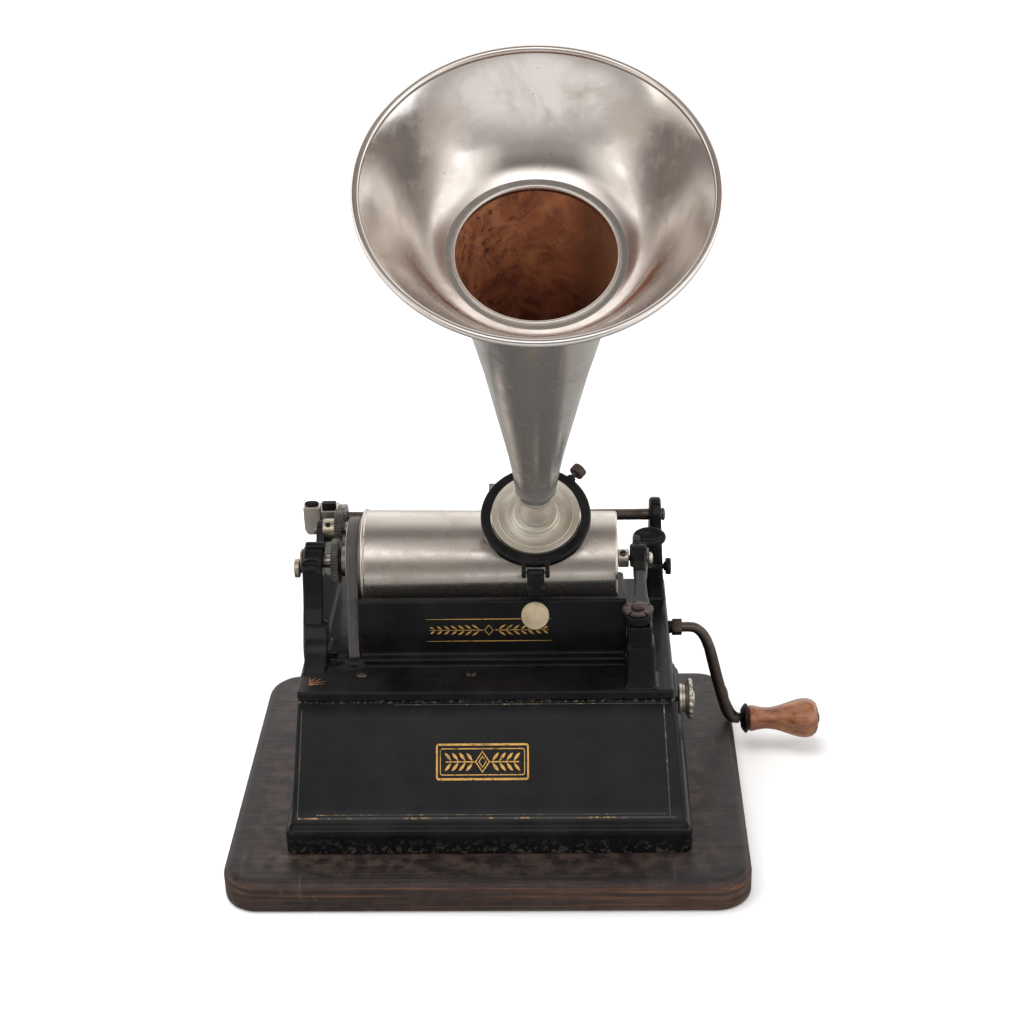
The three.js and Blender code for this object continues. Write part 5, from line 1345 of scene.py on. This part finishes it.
def horn():
    def hand_spun(r, h, turn):
        """slight unevenness, growing along the horn"""
        k = min(1.0, max(0.0, (h - 20) / 120))
        return (r * (1 + 0.0035 * k * sin(2 * turn + h * 0.02)
                     + 0.002 * k * sin(3 * turn + 1.2 + h * 0.05)), h)

    outer = [(7.2, 4.9, 0.15), (7.35, 5.6, 0.3), (6.95, 6.4, 0.3), (6.9, 23.9, 0.2),
             (9.1, 24.3, 0.15), (9.4, 24.7, 0.2), (9.4, 25.4, 0.2), (9.2, 25.8, 0.1)]
    outer += [(r, h) for h, r in CONE_OUTSIDE]
    outer += [(30.75, 188.8, 0.3), (30.3, 189.45, 0.3)]
    # slot 1 is the brown inside
    inner = [(29.85, 188.9, 0.2, 1)] + [(r, h, 0, 1) for h, r in CONE_INSIDE]
    inner += [(5.75, 22.6, 0.5, 1), (5.75, 4.9, 0.1, 0)]
    fit(ring("horn_cone_spun", outer + inner, HORN, ["nickel_horn", "copper"], 160,
             sharp=28, warp=hand_spun), "horn", "horn_cone")

    def circle_point(centre, radius, turn):
        return centre[0] + radius * cos(turn), centre[1] + radius * sin(turn)

    rim = [circle_point((60.15, 228.2), 1.42, radians(-70 + k * 20)) for k in range(15)]
    fit(ring("horn_bell_spun", BELL_INSIDE + rim + BELL_OUTSIDE, HORN, "nickel_bell", 200,
             sharp=30, warp=hand_spun), "horn", "horn_bell")
    bead = [circle_point((29.0, 192.6), 0.95, 2 * PI * k / 16) for k in range(16)]
    fit(ring("throat_bead", bead, HORN, "nickel_horn", 160, sharp=180), "horn")


horn()


# ============================================================ ornament ======
# each surface maps its own two coordinates and a height off it to x, y, z
def on_front(x, z, off):
    normal = Vector((0, -FRONT_RISE, FRONT_LEAN)).normalized()
    y = FRONT_Y + (z - FRONT_Z) * FRONT_LEAN / FRONT_RISE
    return (x, y + normal.y * off, z + normal.z * off)


def on_apron(x, z, off):
    return (x, APRON_Y - off, z)


def on_ledge(x, y, off):
    return (x, y, PLATE_TOP + off)


def stroke(points, width, surface, mat="gilt", closed=False):
    """thin painted line; width is one value or one for each point"""
    sunk, proud = -0.05, 0.035
    path = [Vector(p) for p in points]
    n = len(path)
    left, right = [], []
    for i, p in enumerate(path):
        if closed:
            along = path[(i + 1) % n] - path[i - 1]
        else:
            along = path[min(i + 1, n - 1)] - path[max(i - 1, 0)]
        along = along.normalized()
        side = Vector((-along.y, along.x))
        wide = width[i] if isinstance(width, list) else width
        left.append(p - side * wide / 2)
        right.append(p + side * wide / 2)
    verts = [surface(q.x, q.y, off) for off in (sunk, proud) for q in left + right]
    faces = []
    for i in range(n if closed else n - 1):
        j = (i + 1) % n
        faces += [[2 * n + i, 2 * n + j, 3 * n + j, 3 * n + i], [i, n + i, n + j, j],
                  [i, j, 2 * n + j, 2 * n + i], [n + i, 3 * n + i, 3 * n + j, n + j]]
    if not closed:
        faces += [[0, 2 * n, 3 * n, n], [n - 1, 2 * n - 1, 4 * n - 1, 3 * n - 1]]
    return make("stroke", verts, faces, mat, sharp=60)


def line(a, b, steps):
    return [(a[0] + (b[0] - a[0]) * i / steps, a[1] + (b[1] - a[1]) * i / steps)
            for i in range(steps + 1)]


def swelling(thin, swell, steps):
    """widths that swell in the middle of a stroke"""
    return [thin + swell * sin(PI * i / steps) for i in range(steps + 1)]


def leaf_pair(x, z, side, length, rise, thin, swell, surface):
    """a leaf below and one above the stem"""
    along = [i / 12 for i in range(13)]
    return [stroke([(x + side * length * t, z + up * (0.25 + rise * t ** 0.8)) for t in along],
                   swelling(thin, swell, 12), surface) for up in (-1, 1)]


def lozenge(x, z, half_width, half_height, width, surface):
    return stroke([(x + half_width, z), (x, z + half_height), (x - half_width, z),
                   (x, z - half_height)], width, surface, closed=True)


def front_panel():
    """double frame round leaves and lozenges on the slanted front"""
    x0, x1, z0, z1 = -21.4, 18.3, 44.0, 56.2
    out = []
    for inset, width in ((0, 0.75), (1.5, 0.35)):
        frame_line = round_rect(x0 + inset, x1 - inset, z0 + inset, z1 - inset, 0.8, 3)
        out.append(stroke(frame_line, width, on_front, closed=True))
    x, z = (x0 + x1) / 2, (z0 + z1) / 2
    for side in (-1, 1):
        out.append(stroke(line((x + side * 3.4, z), (x + side * 16.0, z), 30), 0.42, on_front))
        for k in range(4):
            out += leaf_pair(x + side * (4.4 + 3.1 * k), z, side, length=2.7, rise=2.9,
                             thin=0.12, swell=1.05, surface=on_front)
    for half, width in ((3.0, 0.6), (1.6, 0.45)):
        out.append(lozenge(x, z, half, half * 1.2, width, on_front))
    return out


def apron_band():
    """laurel band, alike on both sides of its middle, between two fine rules"""
    x, z = 1.0, 92.2
    out = []
    for side in (-1, 1):
        out.append(stroke(line((x + side * 2.6, z), (x + side * 26.6, z), 40),
                          [0.42 - 0.27 * i / 40 for i in range(41)], on_apron))
        for k in range(7):
            out += leaf_pair(x + side * (4.4 + 3.3 * k), z, side, length=3.1 - 0.18 * k,
                             rise=2.5 - 0.16 * k, thin=0.10, swell=0.75, surface=on_apron)
    for up in (-1, 1):
        level = z + up * 5.6
        out.append(stroke(line((x - 28.0, level), (x + 28.0, level), 60),
                          swelling(0.12, 0.34, 60), on_apron))
    out.append(lozenge(x, z, 1.9, 2.5, 0.45, on_apron))
    return out


def pinstripes():
    """worn stripes round the slanted front: start, end, width"""
    return [stroke(line(a, b, 40), width, on_front, "faint") for a, b, width in (
        ((-40, 70.6), (79.6, 70.6), 0.55), ((77.6, 69.8), (79.6, 30.8), 0.5),
        ((-82, 30.4), (82, 30.4), 0.6), ((-80.8, 68.6), (-82.2, 30.8), 0.45),
        ((-74, 31.6), (78, 31.6), 0.25))]


def ledge_spray():
    """five bowed leaves from one root on the ledge's front left corner"""
    x, y, n = -78.4, -23.8, 12
    out = []
    for tip_x, tip_y, bow in ((-70.4, -23.0, 0.6), (-70.9, -20.3, 0.5), (-72.8, -17.9, 0.4),
                              (-75.8, -16.8, 0.3), (-78.9, -16.6, -0.4)):
        dx, dy = tip_x - x, tip_y - y
        length = math.hypot(dx, dy)
        bend = [bow * sin(PI * i / n) for i in range(n + 1)]
        points = [(x + dx * i / n - dy / length * b, y + dy * i / n + dx / length * b)
                  for i, b in enumerate(bend)]
        out.append(stroke(points, swelling(0.08, 0.55, n), on_ledge, "gilt_worn"))
    return out


for ornament_name, strokes in (("ornament_gilt_bright", front_panel() + apron_band()),
                               ("ornament_gilt_remnants", pinstripes()),
                               ("ornament_gilt_worn", ledge_spray())):
    ornament = join(ornament_name, strokes)
    shade(ornament.data, 60)
    fit(ornament, "root")

# solids of the frame that have no material of their own
for solid_obj in nodes.values():
    if solid_obj.type == "MESH" and not solid_obj.data.materials:
        solid_obj.data.materials.append(MAT["iron"])


# ================================================================ stage =====
def floor():
    half, z = 3.0, -0.0002      # metres
    mesh = bpy.data.meshes.new("floor_sheet")
    mesh.from_pydata([(x, y, z) for x, y in rect(-half, half, -half, half)], [], [[0, 1, 2, 3]])
    mat = Mat("floor_white")
    cloud = mat.noise(8, detail=3, rough=0.5)
    mat.finish(color=mat.mix(cloud, (0.90, 0.90, 0.90), (0.93, 0.93, 0.93)), rough=0.75, spec=0.2)
    # the sheet glows more with distance from the machine
    glow = mat.ramp(mat.distance_from_origin(), (0.10, 0.10), (0.55, 0.55))
    mat.feed(mat.shader.inputs["Emission Color"], (1, 1, 1))
    mat.feed(mat.shader.inputs["Emission Strength"], glow)
    # its mirror image is dimmer beside the machine than out in the open
    reflected = mat.ramp(mat.times(mat.distance_from_origin(), 0.5),
                         (0.10, 0.34), (0.38, 0.95), (0.52, 0.95), (0.85, 0.50))
    mirror = mat.add("Emission", {0: (0.97, 0.95, 0.93), 1: reflected})
    both = mat.add("MixShader", {0: mat.add("LightPath").outputs["Is Glossy Ray"],
                                 1: mat.shader.outputs[0], 2: mirror.outputs[0]})
    mat.feed(mat.out.inputs["Surface"], both.outputs[0])
    mesh.materials.append(mat.material)
    link("floor_sheet", mesh)


# brightness of the reflected room against the z of the direction: toward -Y dim low
# down, a bright band at 45 degrees and a dim ceiling; toward +Y a pale backdrop
ROOM_FRONT = ((-1.0, 0.04), (-0.5, 0.08), (-0.2, 0.35), (0.0, 0.38), (0.15, 0.26), (0.30, 0.20),
              (0.42, 0.38), (0.55, 1.05), (0.68, 1.95), (0.76, 1.90), (0.86, 1.25), (0.93, 0.56),
              (0.975, 0.30), (1.0, 0.16))
ROOM_BACK = ((-1.0, 0.08), (-0.3, 0.22), (-0.1, 0.42), (0.05, 0.95), (0.20, 1.45), (0.35, 1.45),
             (0.50, 1.35), (0.62, 1.10), (0.75, 1.10), (0.86, 0.90), (0.94, 0.52), (0.975, 0.30),
             (1.0, 0.16))


def world():
    """white to the camera, even light for diffuse rays, a painted room for reflections"""
    studio = bpy.data.worlds.new("studio")
    bpy.context.scene.world = studio
    studio.use_nodes = True
    graph = Graph(studio.node_tree)
    direction = graph.add("TexCoord").outputs["Generated"]
    x, y, z = graph.add("SeparateXYZ", {0: direction}).outputs

    def warm(value):
        """dim parts of the room are a little warmer"""
        k = min(1.0, value)
        return (value * (1.03 - 0.02 * k), value * (0.955 + 0.035 * k), value * (0.90 + 0.08 * k))

    def half_up(source):
        """-1..1 -> 0..1"""
        return graph.plus(graph.times(source, 0.5), 0.5)

    height = half_up(z)

    def by_height(stops):
        return graph.ramp(height, *[(p * 0.5 + 0.5, warm(value)) for p, value in stops])

    def lobe(toward, start, end):
        length = math.sqrt(sum(c * c for c in toward))
        return graph.rise(graph.dot(direction, tuple(c / length for c in toward)), start, end)

    def leftness():
        return graph.times(x, -1.0)

    room = graph.mix(graph.rise(half_up(y), 0.42, 0.60), by_height(ROOM_FRONT), by_height(ROOM_BACK))
    # dark upper corners at both sides
    high_sides = graph.times(graph.rise(graph.math("ABSOLUTE", x), 0.30, 0.58),
                             graph.rise(z, 0.42, 0.68))
    # (mask, colour) laid over one another
    for mask, color in (
            (high_sides, (0.17, 0.135, 0.115)),
            (graph.ramp(leftness(), (0.45, 0.0), (0.78, 0.05)), (0.30, 0.28, 0.26)),
            (graph.ramp(x, (0.40, 0.0), (0.75, 0.75)), (1.75, 1.73, 1.70)),
            (graph.ramp(leftness(), (0.45, 0.0), (0.80, 0.60)), (1.55, 1.50, 1.44)),
            (graph.times(lobe((0.62, 0.18, 0.76), 0.90, 0.985), 0.85), (0.20, 0.105, 0.075)),
            (graph.times(lobe((-0.60, 0.16, 0.78), 0.90, 0.985), 0.85), (0.15, 0.085, 0.055)),
            (lobe((0.93, -0.36, -0.07), 0.952, 0.99), (1.5, 1.5, 1.52)),
            (lobe((-0.91, -0.42, 0.03), 0.985, 0.996), (1.6, 1.55, 1.45))):
        room = graph.mix(mask, room, color)

    def background(color, strength):
        return graph.add("Background", {0: color, 1: strength}).outputs[0]

    rays = graph.add("LightPath").outputs
    lit = graph.add("MixShader", {0: rays["Is Glossy Ray"], 1: background((1, 1, 1), 0.50),
                                  2: background(room, 1.0)})
    seen = graph.add("MixShader", {0: rays["Is Camera Ray"], 1: lit.outputs[0],
                                   2: background((1, 1, 1), 1.0)})
    graph.add("OutputWorld", {0: seen.outputs[0]})


def area_light(name, place, target, size, power, color, specular):
    light = bpy.data.lights.new(name, "AREA")
    light.shape = "RECTANGLE"
    light.size = light.size_y = size
    light.energy = power
    light.color = color
    light.specular_factor = specular
    obj = link(name, light)
    obj.location = place
    obj.rotation_euler = (Vector(target) - Vector(place)).to_track_quat("-Z", "Y").to_euler()
    obj.visible_glossy = False


def camera():
    right = Vector((0.99921098, 0.02916158, -0.02696343))
    up = Vector((0.0109435, 0.45046126, 0.8927289))
    forward = Vector((-0.03817936, 0.89231959, -0.44978671))
    data = bpy.data.cameras.new("photo_cam")
    obj = link("photo_cam", data)
    obj.matrix_world = at(0.044, -0.733, 0.518) @ Matrix((right, up, -forward)).transposed().to_4x4()
    data.lens = 66.7
    data.sensor_width = 36
    data.sensor_fit = "HORIZONTAL"
    data.clip_start = 0.01
    data.clip_end = 20
    scene = bpy.context.scene
    scene.camera = obj
    scene.view_settings.view_transform = "Standard"
    scene.view_settings.look = "None"
    scene.view_settings.exposure = 0.0
    scene.view_settings.gamma = 1.0


floor()
world()
area_light("key_top", (-0.25, -0.10, 1.25), target=(0, 0, 0.1), size=0.9, power=12.0,
           color=(1.0, 0.985, 0.96), specular=0.12)
area_light("fill_right", (1.15, -0.55, 0.75), target=(0, 0, 0.12), size=0.7, power=5.0,
           color=(1.0, 0.985, 0.97), specular=0.15)
area_light("fill_left", (-1.1, -0.75, 0.75), target=(0, 0, 0.12), size=0.7, power=2.5,
           color=(0.97, 0.985, 1.0), specular=0.15)
area_light("fill_front", (0.35, -1.5, 0.65), target=(0, -0.02, 0.08), size=0.8, power=5.0,
           color=(1, 1, 1), specular=0.0)
camera()

# box round every added mesh, leaving out the floor and the frame's own solids
lo = Vector((1e9,) * 3)
hi = Vector((-1e9,) * 3)
for ob in bpy.context.scene.objects:
    if ob.type != "MESH" or ob.name.startswith("floor_sheet") or ob.name in nodes:
        continue
    count = len(ob.data.vertices)
    if not count:
        continue
    coords = np.empty(count * 3)
    ob.data.vertices.foreach_get("co", coords)
    to_world = np.array(ob.matrix_world)
    coords = coords.reshape(-1, 3) @ to_world[:3, :3].T + to_world[:3, 3]
    for k in range(3):
        lo[k] = min(lo[k], coords[:, k].min())
        hi[k] = max(hi[k], coords[:, k].max())
